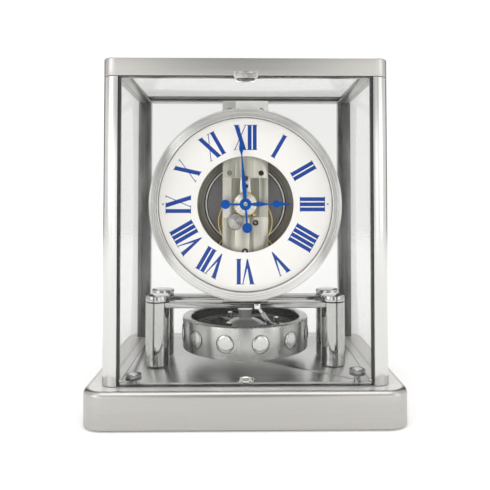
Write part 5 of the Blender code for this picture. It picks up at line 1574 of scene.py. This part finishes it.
class Glyph:
    """Draws Roman hour numerals in a high-contrast face, upright, from (0, 0)."""

    height = 17.2 * MM
    stem = 2.62 * MM
    hair = 0.42 * MM
    bar = 0.4 * MM
    overhang = 0.55 * MM
    gap = 0.85 * MM
    v_width = 7.9 * MM
    x_width = 8.0 * MM
    spacing = 0.06 * MM

    @classmethod
    def strokes(cls, count: int) -> tuple[list[Loop], list[Loop], float]:
        """A run of upright strokes between shared serifs.

        Args:
            count: How many strokes there are.

        Returns:
            The loops, no hairlines, and the run's width.
        """
        width = count * cls.stem + (count - 1) * cls.gap
        over, bar, top = cls.overhang, cls.bar, cls.height
        low, high = bar * 1.5, top - bar * 1.5
        edge = [(-over, 0.0), (width + over, 0.0), (width + over, bar * 0.6), (width, low)]
        edge += [(width, high), (width + over, top - bar * 0.6), (width + over, top), (-over, top)]
        edge += [(-over, top - bar * 0.6), (0.0, high), (0.0, low), (-over, bar * 0.6)]
        loops = [edge]
        for i in range(count - 1):
            left = (i + 1) * cls.stem + i * cls.gap
            loops.append(oblong((left, bar), (left + cls.gap, top - bar)))
        return loops, [], width

    @classmethod
    def five(cls) -> tuple[list[Loop], list[Loop], float]:
        """A V: a thick stroke down and a thin one up.

        Returns:
            The loops, no hairlines, and its width.
        """
        width, top, bar, over = cls.v_width, cls.height, cls.bar, cls.overhang
        foot, thick = width * 0.6, cls.stem * 1.08
        slope = (foot - cls.stem * 0.62) / top
        inner = (foot - cls.hair * 0.5, thick / (slope + (width - foot) / top) * 0.78)
        thin = width - cls.hair * 1.3
        serif = thin - over * 1.6
        loop = [(-over, top), (thick + over, top), (thick + over, top - bar * 0.6)]
        loop += [(thick, top - bar * 1.3), inner, (thin, top - bar), (serif, top - bar * 0.8)]
        loop += [(serif, top), (width + over, top), (width + over, top - bar * 0.8)]
        loop += [(width, top - bar), (foot + cls.hair * 0.3, 0.0), (foot - cls.hair * 1.2, 0.0)]
        loop += [(0.0, top - bar * 1.3), (-over, top - bar * 0.6)]
        return [loop], [], width

    @classmethod
    def ten(cls) -> tuple[list[Loop], list[Loop], float]:
        """An X: a thick stroke down to the right, and a hairline that crosses it.

        Returns:
            The stroke's loops, the hairline's and its width.
        """
        width, top, bar, over = cls.x_width, cls.height, cls.bar, cls.overhang
        thick = cls.stem * 1.1
        right = width - thick
        stroke = [(-over, top), (thick + over, top), (thick + over, top - bar * 0.6)]
        stroke += [(thick, top - bar * 1.3), (width, bar * 1.3), (width + over, bar * 0.6)]
        stroke += [(width + over, 0.0), (right - over, 0.0), (right - over, bar * 0.6)]
        stroke += [(right, bar * 1.3), (0.0, top - bar * 1.3), (-over, top - bar * 0.6)]
        low, high = cls.hair * 0.4, width - cls.hair * 1.5
        foot, head = low + cls.hair + over * 1.6, high + cls.hair + over
        hair = [(low, bar), (low - over, bar * 0.8), (low - over, 0.0), (foot, 0.0)]
        hair += [(foot, bar * 0.8), (low + cls.hair * 1.3, bar), (high + cls.hair * 1.3, top - bar)]
        hair += [(head, top - bar * 0.8), (head, top), (high - over * 1.6, top)]
        hair += [(high - over * 1.6, top - bar * 0.8), (high, top - bar)]
        return [stroke], [hair], width

    @classmethod
    def numeral(cls, letters: str) -> tuple[list[Loop], list[Loop], float]:
        """Set a numeral's letters side by side.

        Args:
            letters: The numeral, such as "VIII".

        Returns:
            The loops, those of the hairlines that cross others, and the whole width.
        """
        drawn: tuple[list[Loop], list[Loop]] = ([], [])
        x, rest = 0.0, letters
        while rest:
            count = len(rest) - len(rest.lstrip("I"))
            if count:
                *layers, width = cls.strokes(count)
            else:
                *layers, width = cls.five() if rest[0] == "V" else cls.ten()
            for kept, made in zip(drawn, layers):
                kept.extend([(px + x, py) for px, py in loop] for loop in made)
            x += width + 2 * cls.overhang + cls.spacing
            rest = rest[count or 1 :]
        return *drawn, x - 2 * cls.overhang - cls.spacing


@dataclass
class Dial:
    """The dial ring with its numerals and pins, and the bezel round it."""

    visible_radius: float = 58.5 * MM
    window_radius: float = 32.8 * MM
    numeral_foot: float = 37.0 * MM
    print_height: float = 0.04 * MM
    pin_radius: float = 0.75 * MM
    pin_offset: float = 56.0 * MM
    bezel_radius: float = 66.3 * MM
    bezel_bore: float = 60.3 * MM
    serrations: int = 260
    serration: float = 0.8 * MM
    flange: float = 1.3 * MM
    band_shares: Pair = (0.615, 0.985)
    band_lines: tuple[float, ...] = (0.12, 0.5, 0.8)
    band_line: float = 0.1 * MM
    hours: str = "XII I II III IIII V VI VII VIII IX X XI"

    def build(self) -> None:
        """Model and dress the dial."""
        low, high, _, outer = measured("dial_ring")
        front, back = low.y, high.y - low.y
        inner, edge = self.window_radius, 0.15 * MM
        profile = [(inner, back), (outer, back), (outer, 0.0), (inner + 2 * edge, 0.0)]
        profile += [(inner + edge * 0.6, edge * 0.6), (inner, 2 * edge)]
        ring = turn("dial", profile, Axis.Y, (0, front, DIAL_HEIGHT), 160, closed=True)
        dress(ring, DIAL_WHITE, Body.CASE, "dial_ring")
        for hour, letters in enumerate(self.hours.split()):
            self.build_numeral(hour, letters, front)
        for side, x in (("left", -self.pin_offset), ("right", self.pin_offset)):
            place = (x, front, DIAL_HEIGHT)
            Fastener(f"dial_pin_{side}", place, self.pin_radius, 0.25 * MM).screw(STEEL, 0.5)
        self.build_bezel(front)

    def build_numeral(self, hour: int, letters: str, front: float) -> None:
        """Model one numeral with its foot towards the centre.

        Args:
            hour: The hour, with 0 for twelve.
            letters: The numeral.
            front: The dial's front face.
        """
        loops, hairs, width = Glyph.numeral(letters)
        layers = []
        for name, drawn, rise in (
            (f"numeral_{hour or 12}", loops, self.print_height),
            (f"hairline_{hour or 12}", hairs, self.print_height * 0.75),
        ):
            centred = [[(x - width / 2, y + self.numeral_foot) for x, y in loop] for loop in drawn]
            placed = [clockwise(loop, math.tau * hour / 12) for loop in centred]
            if placed:
                layers.append(plate(name, placed, rise, (0, front - rise / 2, DIAL_HEIGHT)))
        hold(layers[0])
        if len(layers) > 1:
            layers[1].select_set(True)
            bpy.ops.object.join()
        dress(layers[0], NUMERAL_BLUE, Body.CASE)

    def build_bezel(self, front: float) -> None:
        """Model the bezel: a grooved band that slopes inwards, and a coin-edged flange behind.

        Args:
            front: The dial's front face.
        """
        low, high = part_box("bezel")
        back, rise = high.y - front, low.y - front
        outer, lip = self.bezel_radius - 1.1 * MM, self.visible_radius
        start, end = outer - 0.2 * MM, lip + 1.0 * MM
        foot, top = (rise * share for share in self.band_shares)

        def band(share: float, sunk: float = 0.0) -> Pair:
            """A point on the band, by its share of the way in from the rim."""
            return (start + (end - start) * share, foot + (top - foot) * share + sunk)

        profile = [(self.bezel_bore, back), (outer, back), (outer, foot + 0.2 * MM), band(0.0)]
        for share in self.band_lines:
            line = self.band_line / (start - end)
            profile += [band(share - 2 * line), band(share - line)]
            profile += [band(share, self.band_line * 0.7)]
            profile += [band(share + line), band(share + 2 * line)]
        profile += [band(0.94), band(1.0), (lip + 0.8 * MM, rise), (lip + 0.45 * MM, rise * 0.97)]
        profile += [(lip, rise * 0.55), (lip, -0.3 * MM), (self.bezel_bore, -0.3 * MM)]
        place = (0, front, DIAL_HEIGHT)
        bezel = turn("bezel_ring", profile, Axis.Y, place, 180, closed=True)
        dress(smooth(bezel, SHALLOW), BEZEL_METAL, Body.CASE, "bezel")
        # A dark skin over the lip's inner slope: painted shade where the bezel meets the dial.
        slope = [(lip - 0.04 * MM, rise * 0.6), (lip + 0.36 * MM, rise * 0.94)]
        slope += [(lip + 0.6 * MM, rise * 0.88), (lip + 0.2 * MM, rise * 0.55)]
        groove = turn("bezel_painted_shade", slope, Axis.Y, place, 180, closed=True)
        dress(groove, BEZEL_SHADE_METAL, Body.CASE)
        rim = toothed(self.bezel_radius, self.serrations, 0.0, self.serration)
        flange = plate(
            "bezel_coin_edge",
            [rim, circle(outer - 0.2 * MM, 180)],
            self.flange,
            (0, high.y - self.flange / 2, DIAL_HEIGHT),
        )
        dress(smooth(flange), COIN_METAL, Body.CASE)


@dataclass
class Hand:
    """A blue hand: a leaf with discs on it."""

    node: str
    body: Body
    degrees: float
    hole: float
    length: float
    leaf: float
    tail: Pair
    shares: Pairs
    discs: Pairs = ()
    bar: float = 0.62 * MM
    hub: float = 4.05 * MM
    edge: float = 0.14 * MM

    def build(self) -> None:
        """Model the hand, turned clockwise from twelve."""
        low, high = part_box(self.node)
        angle = math.radians(self.degrees)
        loops = [clockwise(loop, angle) for loop in (self.drawn(), circle(self.hole, 32))]
        middle = (0, (low.y + high.y) / 2, DIAL_HEIGHT)
        hand = plate(f"{self.node}_blue", loops, high.y - low.y, middle)
        dress(soften(hand, self.edge, 2, STEEP), HAND_BLUE, self.body, self.node)

    def drawn(self) -> Loop:
        """The edge of the hand, which points up.

        Returns:
            The points, from the tail round by the right.
        """
        tail, tail_radius = self.tail
        widths = [(tail, self.bar), (0.0, self.bar)]
        widths += [(along * self.length, half * self.leaf) for along, half in self.shares]
        discs = [(tail, tail_radius), (0.0, self.hub)]
        discs += [(along * self.length, radius) for along, radius in self.discs]
        stations = {distance for distance, _ in widths}
        for middle, radius in discs:
            stations |= {middle - radius * math.cos(math.pi * i / 24) for i in range(25)}
        first, tip = min(stations), max(stations)
        inner = sorted(d for d in stations if first < d < tip)
        inner = [d for i, d in enumerate(inner) if i == 0 or d - inner[i - 1] > 5 * WELD]
        halves = [(d, self.half_width(d, widths, discs)) for d in inner]
        right = [(half, d) for d, half in halves]
        left = [(-half, d) for d, half in reversed(halves)]
        return [(0.0, first), *right, (0.0, tip), *left]

    def half_width(self, distance: float, widths: Loop, discs: Loop) -> float:
        """The hand's half width at a distance from its centre.

        Args:
            distance: Where to measure.
            widths: (distance, half width) from tail to tip.
            discs: (distance, radius) of each disc.

        Returns:
            The half width.
        """
        best = 0.02 * MM
        for (start, first), (end, last) in zip(widths, widths[1:]):
            if start <= distance <= end:
                best = max(best, first + (last - first) * (distance - start) / (end - start))
        for middle, radius in discs:
            inside = radius**2 - (distance - middle) ** 2
            if inside > 0:
                best = max(best, math.sqrt(inside))
        return best


@dataclass
class Hands:
    """The two blue hands and the cap at their centre."""

    minute_degrees: float = -4.4
    cap_radius: float = 1.35 * MM
    hour_leaf: Pairs = (
        (0.12, 0.5), (0.2, 0.82), (0.27, 1.0), (0.33, 0.88), (0.42, 0.45), (0.49, 0.25),
        (0.55, 0.42), (0.72, 1.15), (0.78, 0.75), (0.88, 0.3), (1.0, 0.0),
    )
    minute_leaf: Pairs = (
        (0.07, 0.75), (0.16, 0.95), (0.24, 1.0), (0.33, 0.86), (0.45, 0.55), (0.56, 0.32),
        (0.62, 0.28), (0.655, 0.6), (0.685, 0.98), (0.715, 0.92), (0.78, 0.55), (0.87, 0.28),
        (1.0, 0.0),
    )

    def build(self) -> None:
        """Model and dress the hands."""
        Hand(
            "hour_hand", Body.HOUR, 90 + self.minute_degrees / 12, 2.2 * MM, 33.0 * MM, 1.5 * MM,
            (-13.5 * MM, 3.15 * MM), self.hour_leaf, ((0.635, 2.5 * MM),),
        ).build()
        Hand(
            "minute_hand", Body.MINUTE, self.minute_degrees, 1.2 * MM, 53.8 * MM, 1.45 * MM,
            (-16.0 * MM, 3.4 * MM), self.minute_leaf,
        ).build()
        low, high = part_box("hand_nut")
        radius, height = self.cap_radius, high.y - low.y
        profile = [(0.0, 0.0), (radius, 0.0), (radius, -height * 0.6), (radius * 0.75, -height)]
        profile += [(0.45 * MM, -height), (0.35 * MM, -height * 0.55), (0.0, -height * 0.55)]
        cap = turn("centre_cap", profile, Axis.Y, (0, high.y, DIAL_HEIGHT), 32)
        dress(cap, CHROME, Body.MINUTE, "hand_nut")


# ---------------------------------------------------------------- bellows and pendulum


@dataclass
class BellowsDrum:
    """The drum behind the movement: its lid, its body, and the bellows and plate in it."""

    face_radius: float = 28.0 * MM
    bead_radius: float = 28.75 * MM
    bead: float = 0.5 * MM
    shadow_width: float = 0.9 * MM
    fold_count: int = 5
    fold_depth: float = 4.5 * MM
    wall: float = 1.5 * MM
    edge: float = 1.0 * MM
    rib_count: int = 4
    rim: Pairs = (
        (38.4, 0.0), (38.0, 0.5), (36.6, 0.5), (36.2, 0.1), (34.2, 0.1), (33.8, 0.6), (32.4, 0.6),
        (32.0, 0.9),
    )
    back: Pairs = (
        (0.72, 0.0), (0.7, 0.5), (0.5, 0.5), (0.48, 0.0), (0.24, 0.0), (0.22, 0.5), (0.0, 0.5),
    )

    def build(self) -> None:
        """Model and dress the drum."""
        self.build_lid()
        self.build_body()
        self.build_bellows()

    def build_lid(self) -> None:
        """Model the lid: a sunk face, a bead painted bright as a highlight with painted shadow
        rings beside it, and a stepped rim.
        """
        low, high, _, outer = measured("drum_lid")
        depth, face, bead = high.y - low.y, self.face_radius, self.bead_radius
        place = (0, low.y, DIAL_HEIGHT)
        profile = [(0.0, depth), (outer, depth), (outer, 0.3 * MM), (outer - 0.3 * MM, 0.0)]
        profile += [*mm(*self.rim), (bead + 0.9 * MM, 0.9 * MM), (bead + 0.6 * MM, 0.6 * MM)]
        profile += [(face, 0.6 * MM), (face, 0.8 * MM), (0.0, 0.8 * MM)]
        lid = turn("drum_cover", profile, Axis.Y, place, 144)
        dress(smooth(lid, SHALLOW), DRUM_METAL, Body.CASE, "drum_lid")
        profile = [(0.0, 0.82 * MM), (face - 0.1 * MM, 0.82 * MM), (face - 0.3 * MM, 0.62 * MM)]
        skin = turn("drum_face", [*profile, (0.0, 0.55 * MM)], Axis.Y, place, 144)
        dress(skin, DRUM_FACE, Body.CASE)
        # The bead in the near-white finish: painted highlight.
        section = circle(self.bead, 10, (bead, 0.55 * MM))
        dress(turn("drum_bead", section, Axis.Y, place, 144, closed=True), PAINTED_LIGHT_METAL, Body.CASE)
        width = self.shadow_width
        for name, at, wide in (
            ("drum_shadow_outer", bead + self.bead + 0.05 * MM, width),
            ("drum_shadow_inner", face - width / 2, width / 2),
        ):
            section = oblong((at, 0.7 * MM), (at + wide, 0.5 * MM))
            dress(turn(name, section, Axis.Y, place, 144, closed=True), SCREW_DARK, Body.CASE)

    def build_body(self) -> None:
        """Model the drum's shell, with ribs round it and rings pressed in its back."""
        low, high, _, outer = measured("bellows_drum")
        depth, wall, edge = high.y - low.y, self.wall, self.edge
        inner = outer - wall
        profile = [(inner, 0.0), (outer, 0.0)]
        for i in range(self.rib_count):
            start = depth * (0.18 + 0.17 * i)
            profile += [(outer, start), (outer - 0.5 * MM, start + 0.5 * MM)]
            profile += [(outer - 0.5 * MM, start + 1.7 * MM), (outer, start + 2.2 * MM)]
        profile += [(outer, depth - edge), (outer - edge * 0.3, depth - edge * 0.3)]
        profile += [(outer - edge, depth)]
        profile += [(outer * share, depth - drop * MM) for share, drop in self.back]
        profile += [(0.0, depth - wall), (inner - edge, depth - wall), (inner, depth - wall - edge)]
        place = (0, low.y, DIAL_HEIGHT)
        shell = turn("drum_shell", profile, Axis.Y, place, 112, closed=True)
        dress(smooth(shell, SHALLOW), DRUM_METAL, Body.CASE, "bellows_drum")

    def build_bellows(self) -> None:
        """Model the bellows' round folds and the plate that they press on."""
        low, high, _, outer = measured("bellows")
        length, inner = high.y - low.y, outer - self.fold_depth
        steps = 8 * self.fold_count
        folds = []
        for i in range(steps + 1):
            wave = (1 - math.cos(math.tau * self.fold_count * i / steps)) / 2
            folds.append((inner + (outer - inner) * wave, length * i / steps))
        start, end = (0.0, low.y, DIAL_HEIGHT), (0.0, high.y, DIAL_HEIGHT)
        profile = [(0.0, 0.0), *folds, (0.0, length)]
        bellows = turn("bellows_folds", profile, Axis.Y, start, 96)
        dress(smooth(bellows, math.radians(60)), GILT, None, "bellows")
        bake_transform(bellows)
        low, high, _, radius = measured("pressure_plate")
        depth, edge = high.y - low.y, 0.3 * MM
        profile = [(0.0, 0.0), (radius - edge, 0.0), (radius, edge), (radius, depth - edge)]
        profile += [(radius - edge, depth), (0.0, depth)]
        disc = turn("bellows_press", profile, Axis.Y, (0, low.y, DIAL_HEIGHT), 80)
        dress(disc, STEEL, Body.PRESSURE_PLATE, "pressure_plate")


@dataclass
class Pendulum:
    """The pendulum: ring, studs, disc with pegs, hub and wire, and the bracket it hangs from."""

    radius: float = 45.1 * MM
    stud_count: int = 12
    stud_radius: float = 5.75 * MM
    stud_rise: float = 0.7 * MM
    stud_phase: float = -17.4
    stud_dome: Pairs = ((0.0, 1.0), (0.45, 0.97), (0.72, 0.82), (0.88, 0.55), (0.97, 0.15))
    collar: Pairs = ((0.02, -1.5), (0.24, -1.5), (0.24, 0.05), (0.16, 0.15), (0.02, 0.1))
    wall: float = 5.9 * MM
    bore_skin: float = 0.05 * MM
    edge: float = 0.75 * MM
    disc_rim: float = 5.0 * MM
    disc_hub: float = 9.0 * MM
    disc_spoke: float = 9.0 * MM
    disc_thickness: float = 2.0 * MM
    spokes: int = 3
    peg_radius: float = 2.1 * MM
    peg_offset: float = 22.5 * MM
    dome: float = 13.5 * MM
    dome_shape: Pairs = ((0.82, 0.42), (0.6, 0.72), (0.38, 0.92), (0.0, 1.0))
    hub_cap: float = 1.4 * MM
    wire_radius: float = 0.35 * MM

    def build(self) -> None:
        """Model and dress the pendulum."""
        self.build_ring()
        self.build_studs()
        self.build_disc()
        self.build_hub()

    def build_ring(self) -> None:
        """Model the heavy ring."""
        low, high, at, _ = measured("pendulum_ring")
        radius, height, edge, skin = self.radius, high.z - low.z, self.edge, self.bore_skin
        inner, bevel = radius - self.wall, edge * 0.3
        profile = [
            (inner, edge), (inner + edge, 0.0), (radius - edge, 0.0), (radius - bevel, bevel),
            (radius, edge), (radius, height - edge), (radius - bevel, height - bevel),
            (radius - edge, height), (inner + edge, height), (inner, height - edge),
        ]
        place = (0, at.y, low.z)
        ring = turn("pendulum_weight", profile, Axis.Z, place, 192, closed=True)
        dress(smooth(ring, SHALLOW), RING_METAL, Body.PENDULUM, "pendulum_ring")
        # A dark skin over the ring's bore: painted shade.
        section = oblong((inner - skin, edge), (inner + skin, height - edge))
        bore = turn("pendulum_bore", section, Axis.Z, place, 192, closed=True)
        dress(bore, RING_BORE_SHADE, Body.PENDULUM)

    def build_studs(self) -> None:
        """Model one domed stud and the groove round it, and copy them round the ring."""
        at = measured("pendulum_ring")[2]
        radius, face, root = self.radius, self.stud_radius, self.radius - 2.5 * MM
        dome = [(face * out, -(radius + self.stud_rise * up)) for out, up in self.stud_dome]
        dome += [(face, -(radius - 0.3 * MM)), (face, -root), (0.0, -root)]
        section = [(face + out * MM, -(radius + up * MM)) for out, up in self.collar]
        place = (0, at.y, at.z)
        stud = turn("stud", dome, Axis.Y, place, 48)
        collar = turn("stud_collar", section, Axis.Y, place, 48, closed=True)
        for i in range(self.stud_count):
            angle = math.radians(self.stud_phase + 360 * i / self.stud_count)
            there = Matrix.Translation((0, at.y, 0)) @ Matrix.Rotation(angle, 4, "Z")
            matrix = there @ Matrix.Translation((0, -at.y, 0))
            dress(copied(stud, f"stud_{i + 1}", matrix), STUD_METAL, Body.PENDULUM)
            dress(copied(collar, f"stud_collar_{i + 1}", matrix), SCREW_DARK, Body.PENDULUM)
        for piece in (stud, collar):
            bpy.data.objects.remove(piece, do_unlink=True)

    def build_disc(self) -> None:
        """Model the spoked disc that carries the ring, with its dome and pegs."""
        low, high, at, radius = measured("pendulum_disc")
        thickness, hub, half = self.disc_thickness, self.disc_hub, self.disc_spoke / 2
        top, outer = low.z + thickness, radius - self.disc_rim
        loops = [circle(radius, 128)]
        starts = [math.tau * i / self.spokes for i in range(self.spokes)]
        for start in starts:
            end = start + math.tau / self.spokes
            rim = arc(outer, start + half / outer, end - half / outer, 28)
            loops.append(rim + arc(hub, end - half / hub, start + half / hub, 10))
        middle = (0, at.y, top - thickness / 2)
        disc = plate("pendulum_spokes", loops, thickness, middle, Facing.UP)
        dress(soften(disc, 0.25 * MM), DISC_METAL, Body.PENDULUM, "pendulum_disc")
        crown, wide = high.z - top, self.dome
        profile = [(0.0, top - 0.2 * MM), (wide, top - 0.2 * MM), (wide, top + 0.3 * MM)]
        profile += [(wide * out, top + crown * up) for out, up in self.dome_shape]
        dome = turn("pendulum_dome", profile, Axis.Z, (0, at.y, 0), 96)
        dress(smooth(dome, math.radians(40)), DOME_METAL, Body.PENDULUM)
        foot, edge, wide = top - 0.5 * MM, 0.4 * MM, self.peg_radius
        profile = [(0.0, foot), (wide, foot), (wide, high.z - edge), (wide - edge, high.z)]
        for i, angle in enumerate(starts):
            x, y = (self.peg_offset * part for part in (math.cos(angle), math.sin(angle)))
            peg = turn(f"peg_{i + 1}", [*profile, (0.0, high.z)], Axis.Z, (x, at.y + y, 0), 28)
            dress(peg, CHROME, Body.PENDULUM)

    def build_hub(self) -> None:
        """Model the hub, the wire with its clamps, and the bracket above."""
        low, high, at, cap = measured("pendulum_hub")
        place = (0, at.y, 0)
        radius, neck, edge = cap - 0.5 * MM, cap - 0.5 * MM - 0.6 * MM, 0.35 * MM
        under = high.z - self.hub_cap
        profile = [(0.0, high.z), (cap - edge, high.z), (cap, high.z - edge), (cap, under + edge)]
        profile += [(cap - edge, under), (radius, under), (radius, low.z + 2.2 * MM)]
        profile += [(neck, low.z + 1.9 * MM), (neck, low.z + 1.5 * MM), (radius, low.z + 1.2 * MM)]
        profile += [(radius, low.z), (0.0, low.z)]
        # The hub takes the near-white copy of steel: painted light.
        dress(turn("hub", profile, Axis.Z, place, 64), HUB_METAL, Body.PENDULUM, "pendulum_hub")
        low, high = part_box("suspension_wire")
        ends = ((0, at.y, low.z), (0, at.y, high.z))
        wire = smooth(rod("torsion_wire", self.wire_radius, *ends, 16))
        dress(wire, STEEL, Body.PENDULUM, "suspension_wire")
        clamp = mm((0.0, 0.0), (1.1, 0.0), (1.1, 2.6), (0.6, 3.4), (0.0, 3.4))
        for name, z in (("lower_clamp", low.z + 2.0 * MM), ("upper_clamp", high.z - 5.5 * MM)):
            profile = [(out, z + up) for out, up in clamp]
            dress(turn(name, profile, Axis.Z, place, 24), GILT, Body.PENDULUM)
        bracket = block("wire_bracket", *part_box("suspension_bracket"))
        dress(soften(bracket, 0.5 * MM, 3), CHROME, Body.CASE, "suspension_bracket")


@dataclass
class LockLever:
    """The lever on the front crossbar that locks the pendulum."""

    pivot: Pair = (8.0 * MM, 64.9 * MM)
    reach: Pair = (9.2 * MM, -13.0 * MM)
    arm_radius: float = 1.6 * MM
    knob_half: Pair = (2.05 * MM, 1.85 * MM)
    pin_radius: float = 0.9 * MM
    edge: float = 0.35 * MM

    def build(self) -> None:
        """Model and dress the lever."""
        low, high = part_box("lock_lever")
        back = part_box("crossbar_front")[0].y - 0.3 * MM
        x, z = self.pivot
        length = math.hypot(*self.reach)
        lean = math.atan2(self.reach[0], -self.reach[1])
        for name, start, end, half, thickness, finish, nodes in (
            ("lever_neck", 0.0, 0.5, self.arm_radius * 0.6, 2.0 * MM, STEEL, ()),
            ("lever_arm", 0.42, 1.0, self.arm_radius, 3.0 * MM, SCREW_GREY, ("lock_lever",)),
        ):
            upright = arc(half, 0.0, math.pi, 14, (0.0, -length * start))
            upright += arc(half, math.pi, math.tau, 14, (0.0, -length * end))
            middle = (x, (low.y + back) / 2, z)
            arm = plate(name, [clockwise(upright, -lean)], thickness, middle)
            dress(soften(arm, self.edge, 3), finish, Body.LEVER, *nodes)
        wide, tall = self.knob_half
        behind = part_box("movement_base")[0].y - 0.2 * MM
        knob = block("lever_knob", (x - wide, low.y, z - tall), (x + wide, behind, z + tall))
        dress(soften(knob, self.edge, 3), CHROME, Body.LEVER)
        pin = rod("lever_pin", self.pin_radius, (x, behind - OVERRUN, z), (x, high.y, z))
        dress(smooth(pin), STEEL, Body.LEVER)


# ---------------------------------------------------------------- studio


@dataclass
class Studio:
    """The pale floor, the surround, the soft lights and the camera."""

    camera_place: Triple = (-2.68 * MM, -413.1 * MM, 135.8 * MM)
    camera_turn: Triple = (math.pi / 2 + 0.030, 0.0, -0.014)
    lens: float = 41.36
    shift: Pair = (-0.009, -0.123)
    floor_half: float = 4.0
    backdrop: float = 1.08
    surround: Pairs = (
        (0.0, 1.1), (0.14, 1.1), (0.17, 0.08), (0.29, 0.08), (0.33, 0.95), (0.62, 1.0),
        (0.8, 1.15), (0.87, 1.8), (0.92, 1.65), (0.96, 0.55), (1.0, 0.35),
    )
    ceiling: Pairs = ((0.0, 1.0), (0.34, 1.0), (0.42, 0.55), (0.66, 0.5), (0.8, 1.2), (1.0, 1.3))
    ceiling_reach: Pairs = ((0.0, 0.0), (0.35, 0.0), (0.6, 1.0), (1.0, 1.0))
    glow: Pairs = ((0.0, 0.1), (0.12, 0.2), (0.3, 0.4), (1.0, 0.5))
    fade: Pairs = ((0.0, 1.0), (0.15, 1.0), (0.6, 0.0), (1.0, 0.0))

    def build(self) -> None:
        """Make the set, the lights and the camera."""
        self.build_floor()
        self.build_world()
        self.build_lights()
        self.build_camera()
        bpy.context.scene.view_settings.view_transform = "Standard"
        bpy.context.scene.view_settings.look = "None"

    def build_floor(self) -> None:
        """A wide pale floor that fades out towards its edges."""
        half = self.floor_half
        bpy.ops.mesh.primitive_grid_add(x_subdivisions=8, y_subdivisions=8, size=2 * half)
        floor = settle("studio_floor")
        material = PAPER.material()
        tree = Tree(material)
        far = tree.add("VectorMath", {0: tree.place()}, operation="LENGTH")
        share = tree.math("DIVIDE", far.outputs["Value"], half)
        values = {"Emission Strength": tree.ramp(share, self.glow)}
        values |= {"Emission Color": (1.0, 1.0, 1.0, 1.0), "Alpha": tree.ramp(share, self.fade)}
        tree.feed(tree.shader, values)
        floor.data.materials.append(material)

    def build_world(self) -> None:
        """Plain white where the camera sees it, and a surround with dark flags for the metal."""
        world = bpy.data.worlds.new("studio")
        bpy.context.scene.world = world
        tree = Tree(world)
        split = tree.add("SeparateXYZ", {0: tree.add("TexCoord").outputs["Generated"]})
        x, y, z = split.outputs
        angle = tree.math("ARCTAN2", tree.math("ABSOLUTE", x), y)
        share = tree.math("DIVIDE", angle, math.pi)
        reach = tree.ramp(share, self.ceiling_reach)
        above = tree.mix(reach, 1.0, tree.ramp(z, self.ceiling))
        lit = tree.math("MULTIPLY", tree.ramp(share, self.surround), above)
        seen = tree.mix(tree.add("LightPath").outputs["Is Camera Ray"], lit, self.backdrop)
        tree.feed(tree.shader, {"Strength": seen, "Color": (1.0, 0.997, 0.99, 1.0)})

    def build_lights(self) -> None:
        """Soft boxes on both sides and above."""
        for name, place, size, power in (
            ("soft_left", (-0.85, -0.65, 0.5), (0.6, 0.8), 2.0),
            ("soft_right", (0.9, -0.55, 0.45), (0.55, 0.8), 1.3),
            ("soft_top", (0.0, -0.15, 1.1), (1.0, 0.8), 2.6),
        ):
            data = bpy.data.lights.new(name, "AREA")
            data.shape = "RECTANGLE"
            data.size, data.size_y = size
            data.energy = power
            towards = Vector((0, 0, 0.1)) - Vector(place)
            self.put(name, data, place, towards.to_track_quat("-Z", "Y").to_euler())

    def build_camera(self) -> None:
        """The camera at the photograph's viewpoint."""
        data = bpy.data.cameras.new("camera")
        data.lens = self.lens
        data.sensor_width = 36.0
        data.shift_x, data.shift_y = self.shift
        data.clip_start = 0.01
        camera = self.put("camera", data, self.camera_place, Euler(self.camera_turn))
        bpy.context.scene.camera = camera

    def put(self, name: str, data: bpy.types.ID, place: Triple, turned: Euler) -> Piece:
        """Put a light or the camera in the scene.

        Args:
            name: Its name.
            data: The light or camera.
            place: Where it stands.
            turned: Which way it looks.

        Returns:
            The object.
        """
        made = bpy.data.objects.new(name, data)
        bpy.context.scene.collection.objects.link(made)
        made.location = place
        made.rotation_euler = turned
        return made


def main() -> None:
    """Build the clock's looks in order."""
    logging.basicConfig(level=logging.INFO, format="%(message)s")
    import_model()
    parts = (Studio, Plinth, CaseFrame, Panes, FrontDoor, FrontFittings, Stand, Movement)
    for part in (*parts, Dial, Hands, BellowsDrum, Pendulum, LockLever):
        LOG.info("building %s", part.__name__)
        part().build()
    bpy.ops.object.select_all(action="DESELECT")


if __name__ == "__main__":
    main()
